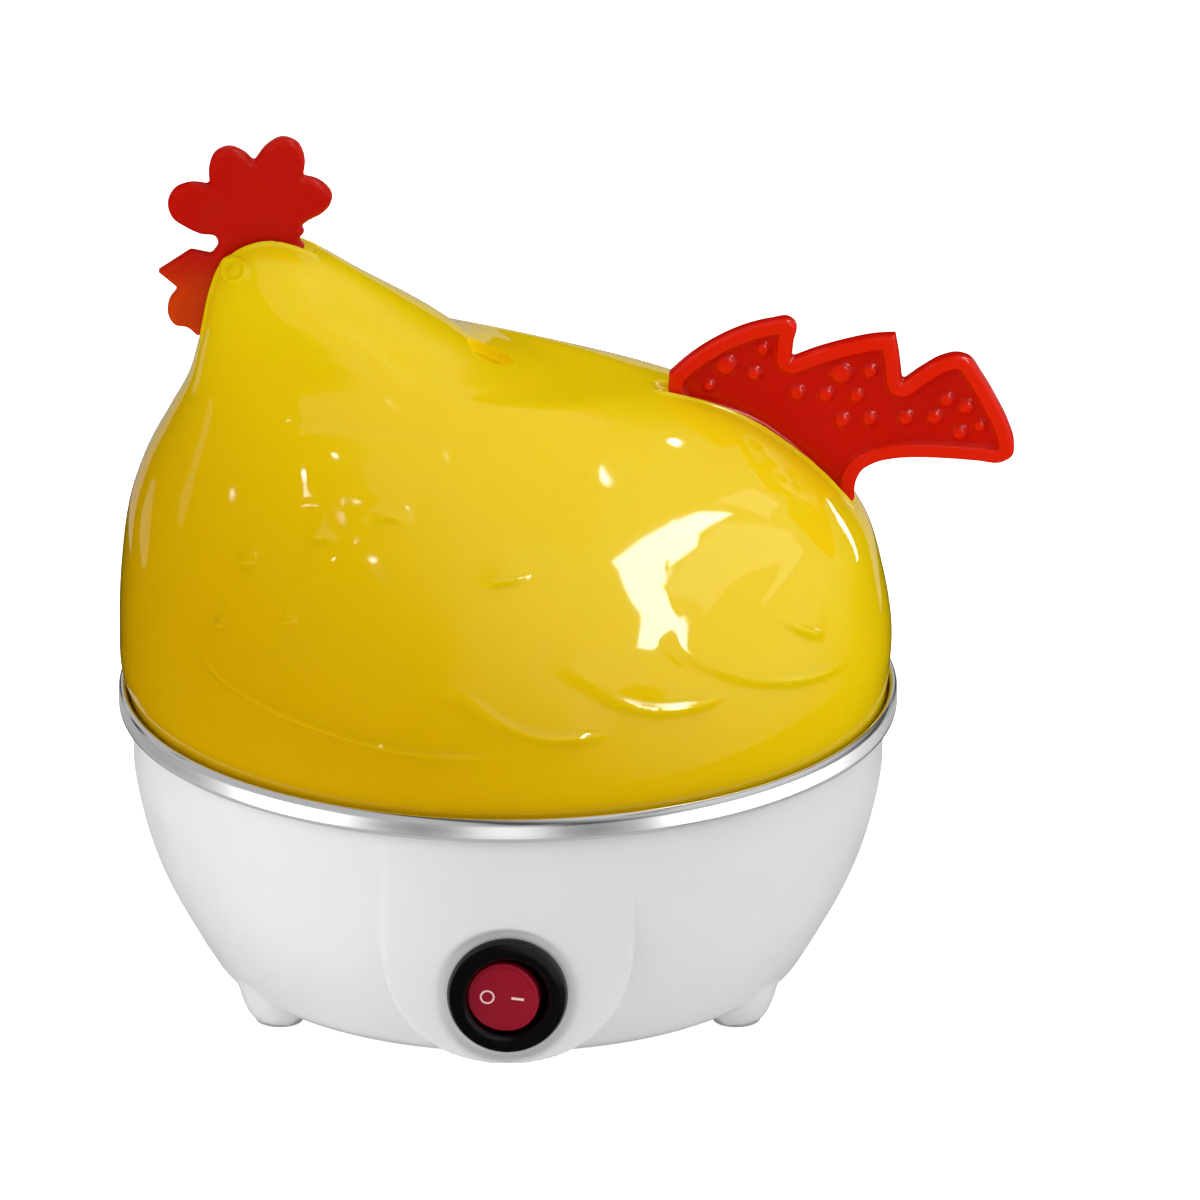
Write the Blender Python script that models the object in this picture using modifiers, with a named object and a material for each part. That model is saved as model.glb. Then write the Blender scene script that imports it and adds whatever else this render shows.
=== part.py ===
"""Hen-shaped electric egg cooker: a white bowl base with a round rocker switch, a metal heating dish,
a lift-out egg tray, and a yellow hen lid with a red comb and a red tail.

The tables and constants are in millimetres, and the helpers turn them into Blender's metres.
+Z is up, the switch faces -Y, and the hen looks towards -X. The table top is Z = 0.
"""

import math

import bmesh
import bpy
import numpy as np
from mathutils import Matrix, Vector

MM = 0.001
TURN = 2 * math.pi
GAP = 0.3  # between pieces that rest on, or pass through, each other

# The bowl's axis stands left of the origin, so that the whole object's box is centred on it.
AXIS_X = -10.2

# Base housing
HOUSING_TOP = 52.3
HOUSING_WALL = 2.4
HOUSING_PROFILE = (  # outer radius and height, from the top edge down
    (67.3, HOUSING_TOP), (67.1, 41.0), (66.0, 34.9), (63.7, 26.7),
    (60.2, 18.6), (57.8, 14.3), (54.6, 9.2), (52.0, 5.6), (50.8, 4.5),
)
FLOOR_TOP = 7.2
FLANGE_TOP = 9.6
FLANGE_BORE_R = 34.5
FLANGE_R = 43.8
COVER_R = 40.8
COVER_THICK = 2.0
COVER_SCREW_R = 37.6
COVER_SCREW_ANGLES = (30, 150, 270)

# Switch boss: an upright wall on the bowl's front, with straight sides and a round end below
BOSS_HALF_WIDTH = 20.8
BOSS_BOTTOM = 8.6
BOSS_TOP = 48.0
BOSS_FACE_R = 66.2
BOSS_DEPTH = 40.0

# Feet, each a moulded lump with a rubber pad under it
FOOT_RING_R = 48.0
FOOT_R = 6.8
FOOT_TOP = 12.0
FOOT_BOTTOM = 0.8
FOOT_ANGLES = {"front_left": 210, "front_right": 330, "rear": 90}
PAD_R = 4.3
PAD_TOP = 1.7

# Heating dish: pressed sheet with a rolled rim, a ledge for the lid and a flat floor
RIM_R = 69.8
RIM_BOTTOM = 51.6
RIM_TOP = 56.2
SHEET = 0.8
LEDGE_TOP = 53.4
DISH_FLOOR = 43.0
HEM = 1.2
STUD_R = 1.5
STUD_RING_R = 22.0
STUD_ANGLES = (30, 150, 270)
STUD_BOTTOM = 29.6

# Heater under the dish
ELEMENT_R = 3.2
ELEMENT_RING_R = 33.0
ELEMENT_GAP_ANGLE = 34
ELEMENT_LEG_BOTTOM = 26.0
CLAMP_R = 41.0
CLAMP_TOP = 35.2
CLAMP_THICK = 1.2
CLAMP_SLOT = (26.0, 12.0)

# Thermostat, hanging under the middle of the clamp
STAT_R = 8.0
STAT_SCREW_X = 11.6
STAT_TOP = CLAMP_TOP - CLAMP_THICK - GAP

# Thermal fuse, strapped under the clamp
FUSE_R = 2.0
FUSE_LENGTH = 12.0
FUSE_Y = 24.0
FUSE_Z = CLAMP_TOP - CLAMP_THICK - GAP - FUSE_R
FUSE_SCREW_X = 6.0

# Rocker switch; its own +Z points out of the boss and its own X is the object's X
SWITCH_Z = 21.3
SWITCH_FACE_Y = -65.2
BEZEL_R = 10.4
BEZEL_THICK = 2.9
BARREL_R = 9.4
BARREL_DEPTH = 15.0
POCKET_R = 7.25
POCKET_DEPTH = 11.5
ROCKER_R = 6.45
PIVOT_DEPTH = 2.2
PIVOT_R = 0.9
ROCKER_SIDE_UP = 1.5
ROCKER_VALLEY = 0.9
ROCKER_TILT = math.radians(10)
LEVER_DEPTH = 9.4
LEVER_SIZE = (8.4, 2.6, 0.6)
LEVER_TILT = math.radians(8)
TERMINAL_X = (-5.0, 0.0, 5.0)
TERMINAL_SIZE = (0.8, 4.8, 7.0)

# Cord gland, in a round boss on the rear wall
GLAND_Z = 24.0
GLAND_BOSS_R = 8.6
GLAND_BOSS_Y = 64.6
GLAND_R = 4.6
GLAND_FLANGE_R = 6.6
GLAND_BORE_R = 3.3

# Terminal block on the bottom cover
BLOCK_SIZE = (20.0, 10.0, 9.0)
BLOCK_Y = 22.0
WIRE_R = 0.9

# Egg tray: a round plate with seven seats
TRAY_R = 63.3
TRAY_PLATE = (55.4, 57.2)
SEAT_R = 16.0
SEAT_RING_R = 41.6
COLLAR_R = 18.2
COLLAR_TOP = 60.2
TRAY_LEG_RING_R = 50.5
TRAY_LEG_R = 3.0
TRAY_LEG_ANGLES = (30, 150, 270)
TRAY_TAB_X = 60.6

# Hen lid: tilted ovals from the bottom edge to the crown. Each row holds the oval's front point (x, z),
# its rear point (x, z), its half width, and how much it narrows towards the rear.
LID_WALL = 2.0
LID_OVALS = (
    (-67.9, 53.7, 67.9, 53.7, 67.9, 0.00),
    (-68.1, 55.9, 68.0, 55.9, 67.9, 0.00),
    (-69.2, 59.4, 68.4, 59.4, 68.2, 0.00),
    (-69.6, 68.0, 68.8, 66.0, 67.4, 0.00),
    (-69.1, 80.0, 67.3, 76.5, 64.4, 0.00),
    (-67.7, 90.3, 64.6, 86.0, 59.4, 0.03),
    (-65.0, 98.6, 59.9, 92.8, 52.6, 0.06),
    (-61.2, 106.2, 52.5, 100.3, 44.5, 0.12),
    (-57.4, 113.6, 41.0, 108.2, 36.5, 0.24),
    (-55.4, 120.6, 26.5, 112.9, 29.0, 0.40),
    (-54.3, 127.0, 6.0, 116.2, 23.0, 0.50),
    (-53.7, 129.9, -3.4, 119.0, 20.0, 0.46),
    (-52.9, 132.4, -13.0, 125.4, 17.0, 0.36),
    (-50.8, 136.8, -25.0, 132.8, 12.8, 0.20),
    (-47.0, 139.8, -33.6, 138.0, 7.0, 0.05),
)
LID_CROWN = (-41.5, 0.0, 140.9)
LID_RINGS_PER_OVAL = 1.25
LID_SEGMENTS = 36
VENT_X = -3.2
VENT_R = 4.2

# Comb and beak, one flat plate in the middle plane: x, z, and whether the outline is smooth there
COMB_THICK = 3.2
COMB_SLOT_X = (-60.0, -33.6)
COMB_SLOT_BOTTOM = 120.0
COMB_OUTLINE = (
    (-36.8, 143.2, False), (-33.6, 145.0, True), (-31.3, 148.8, True), (-33.6, 152.0, True),
    (-36.3, 152.6, False), (-36.4, 156.6, True), (-40.3, 160.0, True), (-43.4, 158.2, True),
    (-45.3, 155.4, False), (-47.2, 157.3, True), (-50.0, 158.3, True), (-52.7, 156.4, True),
    (-53.2, 150.9, False), (-57.3, 151.2, True), (-60.7, 147.9, True), (-58.2, 143.2, True),
    (-52.1, 141.2, False), (-51.8, 139.8, False), (-53.0, 137.8, False), (-56.6, 138.5, False),
    (-62.3, 134.5, False), (-58.9, 131.3, False), (-60.9, 127.3, True), (-58.6, 123.8, True),
    (-55.6, 122.2, False), (-50.4, 122.0, False), (-49.0, 128.0, True), (-45.0, 133.6, True),
    (-40.5, 135.4, True), (-36.9, 134.2, False),
)

# Tail, one flat plate in the middle plane
TAIL_THICK = 3.6
TAIL_SLOT_X = (28.0, 61.4)
TAIL_SLOT_Z = (90.0, 118.0)
TAIL_OUTLINE = (
    (28.9, 115.2, False), (37.3, 121.7, True), (44.5, 124.8, True), (50.9, 125.4, True),
    (51.4, 123.6, False), (50.8, 118.0, False), (60.9, 121.4, True), (69.7, 122.5, False),
    (70.7, 113.5, False), (77.0, 118.0, True), (82.3, 118.4, True), (87.4, 110.4, True),
    (90.6, 102.0, True), (88.4, 98.0, True), (74.1, 99.0, True), (65.8, 98.0, True),
    (62.3, 94.8, True), (61.0, 90.4, False), (56.4, 90.4, False), (48.0, 99.2, True),
    (38.0, 105.4, True), (28.9, 107.0, False),
)


# ---------------------------------------------------------------- helpers

def clear_scene():
    for obj in list(bpy.data.objects):
        bpy.data.objects.remove(obj)


def new_collection(name):
    collection = bpy.data.collections.new(name)
    bpy.context.scene.collection.children.link(collection)
    return collection


def new_material(name, colour, roughness, metallic=0.0):
    material = bpy.data.materials.new(name)
    material.use_nodes = True
    shader = material.node_tree.nodes["Principled BSDF"]
    shader.inputs["Base Color"].default_value = (*colour, 1.0)
    shader.inputs["Roughness"].default_value = roughness
    shader.inputs["Metallic"].default_value = metallic
    material.diffuse_color = (*colour, 1.0)
    return material


def new_empty(name, parent=None, at=(0, 0, 0), turned_by=(0, 0, 0)):
    empty = bpy.data.objects.new(name, None)
    PARTS.objects.link(empty)
    empty.parent = parent
    empty.location = [MM * v for v in at]
    empty.rotation_euler = turned_by
    return empty


def add(name, data, material, parent, at=(0, 0, 0), turned_by=(0, 0, 0)):
    """An object of the cooker, or a helper if it has no material."""
    obj = bpy.data.objects.new(name, data)
    (PARTS if material else CUTTERS).objects.link(obj)
    if material:
        data.materials.append(material)
    else:
        obj.hide_render = True
        obj.display_type = "WIRE"
    obj.parent = parent
    obj.location = [MM * v for v in at]
    obj.rotation_euler = turned_by
    return obj


def cut(obj, other, operation="DIFFERENCE"):
    modifier = obj.modifiers.new(other.name, "BOOLEAN")
    modifier.operation = operation
    modifier.object = other


def join(obj, other):
    cut(obj, other, "UNION")


def bevel(obj, width, segments=2, limit=30):
    modifier = obj.modifiers.new("rounded_edges", "BEVEL")
    modifier.width = MM * width
    modifier.segments = segments
    modifier.angle_limit = math.radians(limit)


def turned(name, profile, material, parent, at=(0, 0, 0), turned_by=(0, 0, 0), steps=48, closed=False):
    """A turned shape. The profile of (radius, height) runs down its outer side; a closed one never meets the axis."""
    mesh = bpy.data.meshes.new(name)
    points = [(MM * radius, 0, MM * height) for radius, height in profile]
    count = len(points)
    edges = [(i, (i + 1) % count) for i in range(count if closed else count - 1)]
    mesh.from_pydata(points, edges, [])
    obj = add(name, mesh, material, parent, at, turned_by)
    screw = obj.modifiers.new("turned", "SCREW")
    screw.steps = steps
    screw.render_steps = steps
    screw.use_merge_vertices = True
    screw.merge_threshold = 1e-5
    return obj


def solids(name, shapes, material, parent, at=(0, 0, 0), turned_by=(0, 0, 0)):
    """One mesh of boxes and cones: each shape is (kind, size, matrix in millimetres)."""
    body = bmesh.new()
    for kind, size, matrix in shapes:
        if kind == "box":
            made = bmesh.ops.create_cube(body, size=1)
            scale = Matrix.Diagonal((*size, 1))
        else:
            bottom_r, top_r, height, segments = size
            made = bmesh.ops.create_cone(
                body, cap_ends=True, segments=segments, radius1=bottom_r, radius2=top_r, depth=height
            )
            scale = Matrix.Identity(4)
        bmesh.ops.transform(body, matrix=Matrix.Scale(MM, 4) @ matrix @ scale, verts=made["verts"])
    mesh = bpy.data.meshes.new(name)
    body.to_mesh(mesh)
    body.free()
    return add(name, mesh, material, parent, at, turned_by)


def box(size, at=(0, 0, 0), turn=0.0, axis="Z"):
    return "box", size, Matrix.Translation(at) @ Matrix.Rotation(turn, 4, axis)


def rod(radius, bottom, top, at=(0, 0), segments=20, top_radius=None):
    """A vertical cylinder, or a cone where top_radius differs."""
    size = (radius, radius if top_radius is None else top_radius, top - bottom, segments)
    return "cone", size, Matrix.Translation((*at, (bottom + top) / 2))


def side_rod(radius, length, at, axis, segments=20):
    """A cylinder lying along X or Y."""
    turn = Matrix.Rotation(TURN / 4, 4, "Y" if axis == "X" else "X")
    return "cone", (radius, radius, length, segments), Matrix.Translation(at) @ turn


def prism_along_y(name, outline, start, end, parent):
    """A helper solid: an outline of (x, z), anticlockwise seen from -Y, carried along Y."""
    body = bmesh.new()
    near = [body.verts.new((MM * x, MM * start, MM * z)) for x, z in outline]
    far = [body.verts.new((MM * x, MM * end, MM * z)) for x, z in outline]
    body.faces.new(near)
    body.faces.new(far[::-1])
    for i in range(len(outline)):
        j = (i + 1) % len(outline)
        body.faces.new((near[j], near[i], far[i], far[j]))
    mesh = bpy.data.meshes.new(name)
    body.to_mesh(mesh)
    body.free()
    return add(name, mesh, None, parent)


def ring_places(radius, degrees):
    return [
        (radius * math.cos(math.radians(angle)), radius * math.sin(math.radians(angle)))
        for angle in degrees
    ]


def smooth_path(points, per_span):
    """Points on a Catmull-Rom curve through the given ones."""
    knots = np.array(points, float)
    knots = np.vstack([2 * knots[0] - knots[1], knots, 2 * knots[-1] - knots[-2]])
    path = []
    for i in range(1, len(knots) - 2):
        a, b, c, d = knots[i - 1:i + 3]
        for step in range(per_span):
            t = step / per_span
            path.append(0.5 * (2 * b + (c - a) * t + (2 * a - 5 * b + 4 * c - d) * t**2
                               + (3 * b - a - 3 * c + d) * t**3))
    path.append(knots[-2])
    return path


def tube(name, route, radius, material, parent, resolution=2):
    curve = bpy.data.curves.new(name, "CURVE")
    curve.dimensions = "3D"
    curve.bevel_depth = MM * radius
    curve.bevel_resolution = resolution
    curve.use_fill_caps = True
    spline = curve.splines.new("POLY")
    spline.points.add(len(route) - 1)
    for point, place in zip(spline.points, route):
        point.co = (*[MM * v for v in place], 1)
    return add(name, curve, material, parent)


def welded_mesh(curve_object, material):
    """The mesh of a curve object, with its caps welded to its sides, in the curve's place."""
    bpy.context.view_layer.update()
    graph = bpy.context.evaluated_depsgraph_get()
    mesh = bpy.data.meshes.new_from_object(curve_object.evaluated_get(graph))
    body = bmesh.new()
    body.from_mesh(mesh)
    bmesh.ops.remove_doubles(body, verts=body.verts, dist=1e-6)
    bmesh.ops.recalc_face_normals(body, faces=body.faces)
    body.to_mesh(mesh)
    body.free()
    mesh.materials.clear()
    name = curve_object.name
    parent = curve_object.parent
    matrix = curve_object.matrix_world.copy()
    bpy.data.objects.remove(curve_object)
    obj = add(name, mesh, material, parent)
    bpy.context.view_layer.update()
    obj.matrix_world = matrix
    return obj


def standing_plate(name, outline, thickness, material, parent):
    """A flat plate in the XZ plane, cut to an outline of (x, z, smooth)."""
    curve = bpy.data.curves.new(name, "CURVE")
    curve.dimensions = "2D"
    curve.fill_mode = "BOTH"
    curve.extrude = MM * thickness / 2
    curve.resolution_u = 4
    spline = curve.splines.new("BEZIER")
    spline.use_cyclic_u = True
    spline.bezier_points.add(len(outline) - 1)
    for point, (x, z, smooth) in zip(spline.bezier_points, outline):
        point.co = (MM * x, MM * z, 0)
        point.handle_left_type = "AUTO" if smooth else "VECTOR"
        point.handle_right_type = "AUTO" if smooth else "VECTOR"
    plate = add(name, curve, material, parent, turned_by=(TURN / 4, 0, 0))
    return welded_mesh(plate, material)


# ---------------------------------------------------------------- lid

def lid_ovals(rings):
    """The oval table read at evenly spaced rings, by a smooth curve through its rows."""
    table = np.array(smooth_path(LID_OVALS, 12))
    rows = np.linspace(0, len(table) - 1, rings)
    return [table[int(round(row))] for row in rows]


def oval_point(oval, angle):
    front_x, front_z, rear_x, rear_z, half_width, taper = oval
    along = math.cos(angle)
    x = (front_x + rear_x) / 2 + (rear_x - front_x) / 2 * along
    z = (front_z + rear_z) / 2 + (rear_z - front_z) / 2 * along
    y = half_width * math.sin(angle) * (1 - taper * (1 + along) / 2)
    return Vector((x, y, z))


def lid_surface():
    rings = round((len(LID_OVALS) - 1) * LID_RINGS_PER_OVAL) + 1
    body = bmesh.new()
    loops = [
        [body.verts.new(MM * oval_point(oval, TURN * i / LID_SEGMENTS)) for i in range(LID_SEGMENTS)]
        for oval in lid_ovals(rings)
    ]
    for lower, upper in zip(loops, loops[1:]):
        for i in range(LID_SEGMENTS):
            j = (i + 1) % LID_SEGMENTS
            body.faces.new((lower[i], lower[j], upper[j], upper[i]))
    crown = body.verts.new(MM * Vector(LID_CROWN))
    for i in range(LID_SEGMENTS):
        body.faces.new((loops[-1][i], loops[-1][(i + 1) % LID_SEGMENTS], crown))
    mesh = bpy.data.meshes.new("lid_shell")
    body.to_mesh(mesh)
    body.free()
    mesh.shade_smooth()
    return mesh


def make_lid(axis):
    lid = add("lid_shell", lid_surface(), YELLOW, axis)
    solidify = lid.modifiers.new("wall", "SOLIDIFY")
    solidify.thickness = MM * LID_WALL
    solidify.offset = -1

    def slot(name, x_range, z_range, thickness):
        size = (x_range[1] - x_range[0], thickness + 2 * GAP, z_range[1] - z_range[0])
        cut(lid, solids(name, [box(size, (sum(x_range) / 2, 0, sum(z_range) / 2))], None, axis))

    slot("comb_slot_cutter", COMB_SLOT_X, (COMB_SLOT_BOTTOM, 146), COMB_THICK)
    slot("tail_slot_cutter", TAIL_SLOT_X, TAIL_SLOT_Z, TAIL_THICK)
    cut(lid, solids("vent_cutter", [rod(VENT_R, 100, 130, (VENT_X, 0))], None, axis))
    standing_plate("comb_and_beak", COMB_OUTLINE, COMB_THICK, RED, axis)
    standing_plate("tail_fan", TAIL_OUTLINE, TAIL_THICK, RED, axis)


# ---------------------------------------------------------------- tray and dish

def make_tray(axis):
    bottom, top = TRAY_PLATE
    tray = turned(
        "egg_tray",
        ((0, top), (TRAY_R - 1.8, top), (TRAY_R - 1.4, top + 2.4), (TRAY_R, top + 2.4),
         (TRAY_R, bottom - 1.0), (TRAY_R - 1.8, bottom - 1.0), (TRAY_R - 2.2, bottom), (0, bottom)),
        IVORY, axis,
    )
    seats = [(0, 0)] + ring_places(SEAT_RING_R, range(0, 360, 60))
    added = [rod(COLLAR_R, bottom + 0.4, COLLAR_TOP, place, 18, COLLAR_R - 1.0) for place in seats]
    legs = [
        rod(TRAY_LEG_R - 0.6, DISH_FLOOR + GAP, bottom + 0.6, place, 10, TRAY_LEG_R)
        for place in ring_places(TRAY_LEG_RING_R, TRAY_LEG_ANGLES)
    ]
    tabs = [
        box((1.8, 14, 16), (side * TRAY_TAB_X, 0, top + 6.2), side * math.radians(6), "Y")
        for side in (-1, 1)
    ]
    join(tray, solids("tray_added", added + legs, None, axis, turned_by=(0, 0, TURN / 12)))
    join(tray, solids("tray_tabs", tabs, None, axis))
    holes = [rod(SEAT_R - 1.6, bottom - 2, COLLAR_TOP + 1, place, 18, SEAT_R + 0.6) for place in seats]
    cut(tray, solids("tray_holes", holes, None, axis, turned_by=(0, 0, TURN / 12)))


def make_dish(axis):
    dish = turned(
        "heating_dish",
        ((0, DISH_FLOOR), (28, DISH_FLOOR), (56.5, DISH_FLOOR), (60.2, 44.6), (62.6, 48.0),
         (64.4, LEDGE_TOP - 0.8),
         (65.2, LEDGE_TOP), (68.2, LEDGE_TOP), (68.4, 55.4), (68.9, RIM_TOP - 0.1), (69.3, RIM_TOP - 0.1),
         (RIM_R, 55.4), (RIM_R, RIM_BOTTOM), (RIM_R - HEM, RIM_BOTTOM),
         (RIM_R - HEM, LEDGE_TOP - SHEET), (64.9, LEDGE_TOP - SHEET), (63.7, 51.6),
         (61.9, 47.6), (59.6, 45.0), (56.3, DISH_FLOOR - SHEET), (28, DISH_FLOOR - SHEET), (0, DISH_FLOOR - SHEET)),
        STEEL, axis,
    )
    studs = [
        rod(STUD_R, STUD_BOTTOM, DISH_FLOOR - SHEET / 2, place, 10)
        for place in ring_places(STUD_RING_R, STUD_ANGLES)
    ]
    join(dish, solids("dish_studs", studs, None, axis))


# ---------------------------------------------------------------- base housing

def boss_solid(name, inset, axis):
    """The switch boss's block: a turned wall, kept only inside an upright, round-ended outline."""
    half = BOSS_HALF_WIDTH - inset
    middle = BOSS_BOTTOM + BOSS_HALF_WIDTH
    block = turned(
        name,
        ((0, BOSS_TOP), (BOSS_FACE_R - inset, BOSS_TOP), (BOSS_FACE_R - inset, 5), (0, 5)),
        None, axis,
    )
    round_end = [
        (half * math.cos(angle), middle + half * math.sin(angle))
        for angle in np.linspace(-math.pi, 0, 17)
    ]
    outline = [(-half, BOSS_TOP + 5), *round_end, (half, BOSS_TOP + 5)]
    cut(block, prism_along_y(name + "_outline", outline, -32 - BOSS_DEPTH, -32, axis), "INTERSECT")
    return block


def make_housing(axis):
    housing = turned(
        "base_housing", ((0, HOUSING_TOP), *HOUSING_PROFILE, (0, HOUSING_PROFILE[-1][1])), WHITE, axis
    )
    join(housing, boss_solid("boss_block", 0, axis))
    gland_boss = side_rod(GLAND_BOSS_R, 8, (0, GLAND_BOSS_Y - 4, GLAND_Z), "Y", 24)
    join(housing, solids("gland_boss", [gland_boss], None, axis))
    feet = ring_places(FOOT_RING_R, FOOT_ANGLES.values())
    lumps = solids("foot_lumps", [rod(FOOT_R - 1.2, FOOT_BOTTOM, FOOT_TOP, place, 16, FOOT_R) for place in feet],
                   None, axis)
    bevel(lumps, 1.6, 2, 60)
    join(housing, lumps)
    inner = [(radius - HOUSING_WALL, height) for radius, height in HOUSING_PROFILE[:-2]]
    hollow = turned(
        "housing_hollow",
        ((0, 60), (inner[0][0], 60), *inner, (50.2, FLOOR_TOP), (FLANGE_R, FLOOR_TOP), (FLANGE_R, FLANGE_TOP),
         (FLANGE_BORE_R, FLANGE_TOP), (FLANGE_BORE_R, FLOOR_TOP), (COVER_R + GAP, FLOOR_TOP),
         (COVER_R + GAP, 2), (0, 2)),
        None, axis,
    )
    cut(housing, hollow)
    cut(housing, boss_solid("boss_hollow", HOUSING_WALL, axis))
    pillars = [
        rod(3.2, FLANGE_TOP - 1, FLANGE_TOP + 6, place, 12)
        for place in ring_places(COVER_SCREW_R, COVER_SCREW_ANGLES)
    ]
    join(housing, solids("pillars", pillars, None, axis))
    screw_holes = [
        rod(1.8, 2, FLANGE_TOP + 7, place, 10) for place in ring_places(COVER_SCREW_R, COVER_SCREW_ANGLES)
    ]
    cut(housing, solids("pillar_holes", screw_holes, None, axis))
    pad_recesses = [rod(PAD_R + GAP, -1, PAD_TOP + GAP, place, 16) for place in feet]
    cut(housing, solids("pad_recesses", pad_recesses, None, axis))
    switch_hole = side_rod(BARREL_R + GAP, 30, (0, SWITCH_FACE_Y, SWITCH_Z), "Y", 28)
    cut(housing, solids("switch_hole", [switch_hole], None, axis))
    switch_flat = side_rod(BEZEL_R + 1.0, 6, (0, SWITCH_FACE_Y - 3, SWITCH_Z), "Y", 28)
    cut(housing, solids("switch_flat", [switch_flat], None, axis))
    gland_hole = side_rod(GLAND_R + GAP, 30, (0, GLAND_BOSS_Y, GLAND_Z), "Y", 20)
    cut(housing, solids("gland_hole", [gland_hole], None, axis))
    for side, place in zip(FOOT_ANGLES, feet):
        solids(f"foot_pad_{side}", [rod(PAD_R, 0, PAD_TOP, place, 16)], RUBBER, axis)


def make_bottom_cover(axis):
    top = FLOOR_TOP - GAP
    cover = turned(
        "bottom_cover",
        ((0, top), (COVER_R - 0.6, top), (COVER_R, top - 0.6), (COVER_R, top - COVER_THICK), (0, top - COVER_THICK)),
        WHITE, axis, steps=36,
    )
    places = ring_places(COVER_SCREW_R, COVER_SCREW_ANGLES)
    cut(cover, solids("cover_holes", [rod(1.8, 2, 10, place, 10) for place in places], None, axis))
    head_top = top - COVER_THICK - GAP
    for number, place in enumerate(places, 1):
        screw = solids(f"cover_screw_{number}", [rod(2.9, head_top - 1.6, head_top, place, 12)], STEEL, axis)
        shank = solids(f"cover_shank_{number}", [rod(1.4, head_top - 0.8, 14.5, place, 8)], None, axis)
        join(screw, shank)


# ---------------------------------------------------------------- heater and wiring

def make_heater(axis):
    half_gap = ELEMENT_GAP_ANGLE / 2
    height = DISH_FLOOR - SHEET - GAP - ELEMENT_R
    sweep = [(angle, height) for angle in np.linspace(half_gap, 360 - half_gap, 33)]
    turn_down = [(0.0, ELEMENT_LEG_BOTTOM), (0.0, height - 4.6), (1.6, height - 1.6)]
    first = [(half_gap - 7 + step, z) for step, z in turn_down]
    last = [(360 - half_gap + 7 - step, z) for step, z in reversed(turn_down)]
    route = [
        (ELEMENT_RING_R * math.cos(math.radians(90 + angle)), ELEMENT_RING_R * math.sin(math.radians(90 + angle)), z)
        for angle, z in first + sweep + last
    ]
    tube("heater_element", route, ELEMENT_R, DARK_STEEL, axis)

    bottom = CLAMP_TOP - CLAMP_THICK
    clamp = turned(
        "heater_clamp",
        ((0, CLAMP_TOP), (CLAMP_R - 1.2, CLAMP_TOP), (CLAMP_R, CLAMP_TOP + 3.0), (CLAMP_R + 1.0, CLAMP_TOP + 3.0),
         (CLAMP_R, bottom), (0, bottom)),
        ALUMINIUM, axis, steps=36,
    )
    holes = [rod(STUD_R + GAP, 30, 38, place, 10) for place in ring_places(STUD_RING_R, STUD_ANGLES)]
    holes += [rod(1.8, 30, 38, (side * STAT_SCREW_X, 0), 10) for side in (-1, 1)]
    holes += [rod(1.5, 30, 38, (FUSE_SCREW_X, FUSE_Y), 10)]
    width, depth = CLAMP_SLOT
    holes += [box((width, depth, 12), (0, ELEMENT_RING_R, CLAMP_TOP))]
    cut(clamp, solids("clamp_holes", holes, None, axis))
    for number, place in enumerate(ring_places(STUD_RING_R, STUD_ANGLES), 1):
        nut = solids(f"clamp_nut_{number}", [rod(3.2, bottom - GAP - 2.4, bottom - GAP, place, 6)], STEEL, axis)
        cut(nut, solids(f"nut_bore_{number}", [rod(STUD_R + GAP, 28, 36, place, 10)], None, axis))


def make_thermostat(axis):
    stat = solids("thermostat", [rod(STAT_R, STAT_TOP - 5, STAT_TOP, segments=24)], STEEL, axis)
    ears = [box((2 * STAT_SCREW_X + 7, 7, 1), (0, 0, STAT_TOP - 0.5))]
    body = [rod(STAT_R - 1.2, STAT_TOP - 10, STAT_TOP - 4, segments=20)]
    blades = [box((0.8, 5, 7), (side * 4.2, 0, STAT_TOP - 12)) for side in (-1, 1)]
    join(stat, solids("thermostat_ears", ears, None, axis))
    join(stat, solids("thermostat_body", body, None, axis))
    join(stat, solids("thermostat_blades", blades, None, axis))
    holes = [rod(1.8, 20, 40, (side * STAT_SCREW_X, 0), 10) for side in (-1, 1)]
    cut(stat, solids("thermostat_holes", holes, None, axis))
    head_top = STAT_TOP - 1 - GAP
    for number, side in enumerate((-1, 1), 1):
        place = (side * STAT_SCREW_X, 0)
        screw = solids(f"thermostat_screw_{number}", [rod(2.7, head_top - 1.5, head_top, place, 12)], STEEL, axis)
        join(screw, solids(f"stat_shank_{number}", [rod(1.4, head_top - 0.8, 37.5, place, 8)], None, axis))


def make_fuse(axis):
    fuse = solids("thermal_fuse", [side_rod(FUSE_R, FUSE_LENGTH, (-3, FUSE_Y, FUSE_Z), "X", 12)], STEEL, axis)
    join(fuse, solids("fuse_leads", [side_rod(0.5, FUSE_LENGTH + 10, (-3, FUSE_Y, FUSE_Z), "X", 8)], None, axis))
    reach = FUSE_R + GAP
    bottom, top = FUSE_Z - reach - 1, FUSE_Z + FUSE_R
    clip = solids("fuse_clip", [box((4, 1, top - bottom), (-3, FUSE_Y - reach - 0.5, (top + bottom) / 2))], STEEL, axis)
    join(clip, solids("fuse_clip_under", [box((4, 2 * reach + 2, 1), (-3, FUSE_Y, bottom + 0.5))], None, axis))


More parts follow.
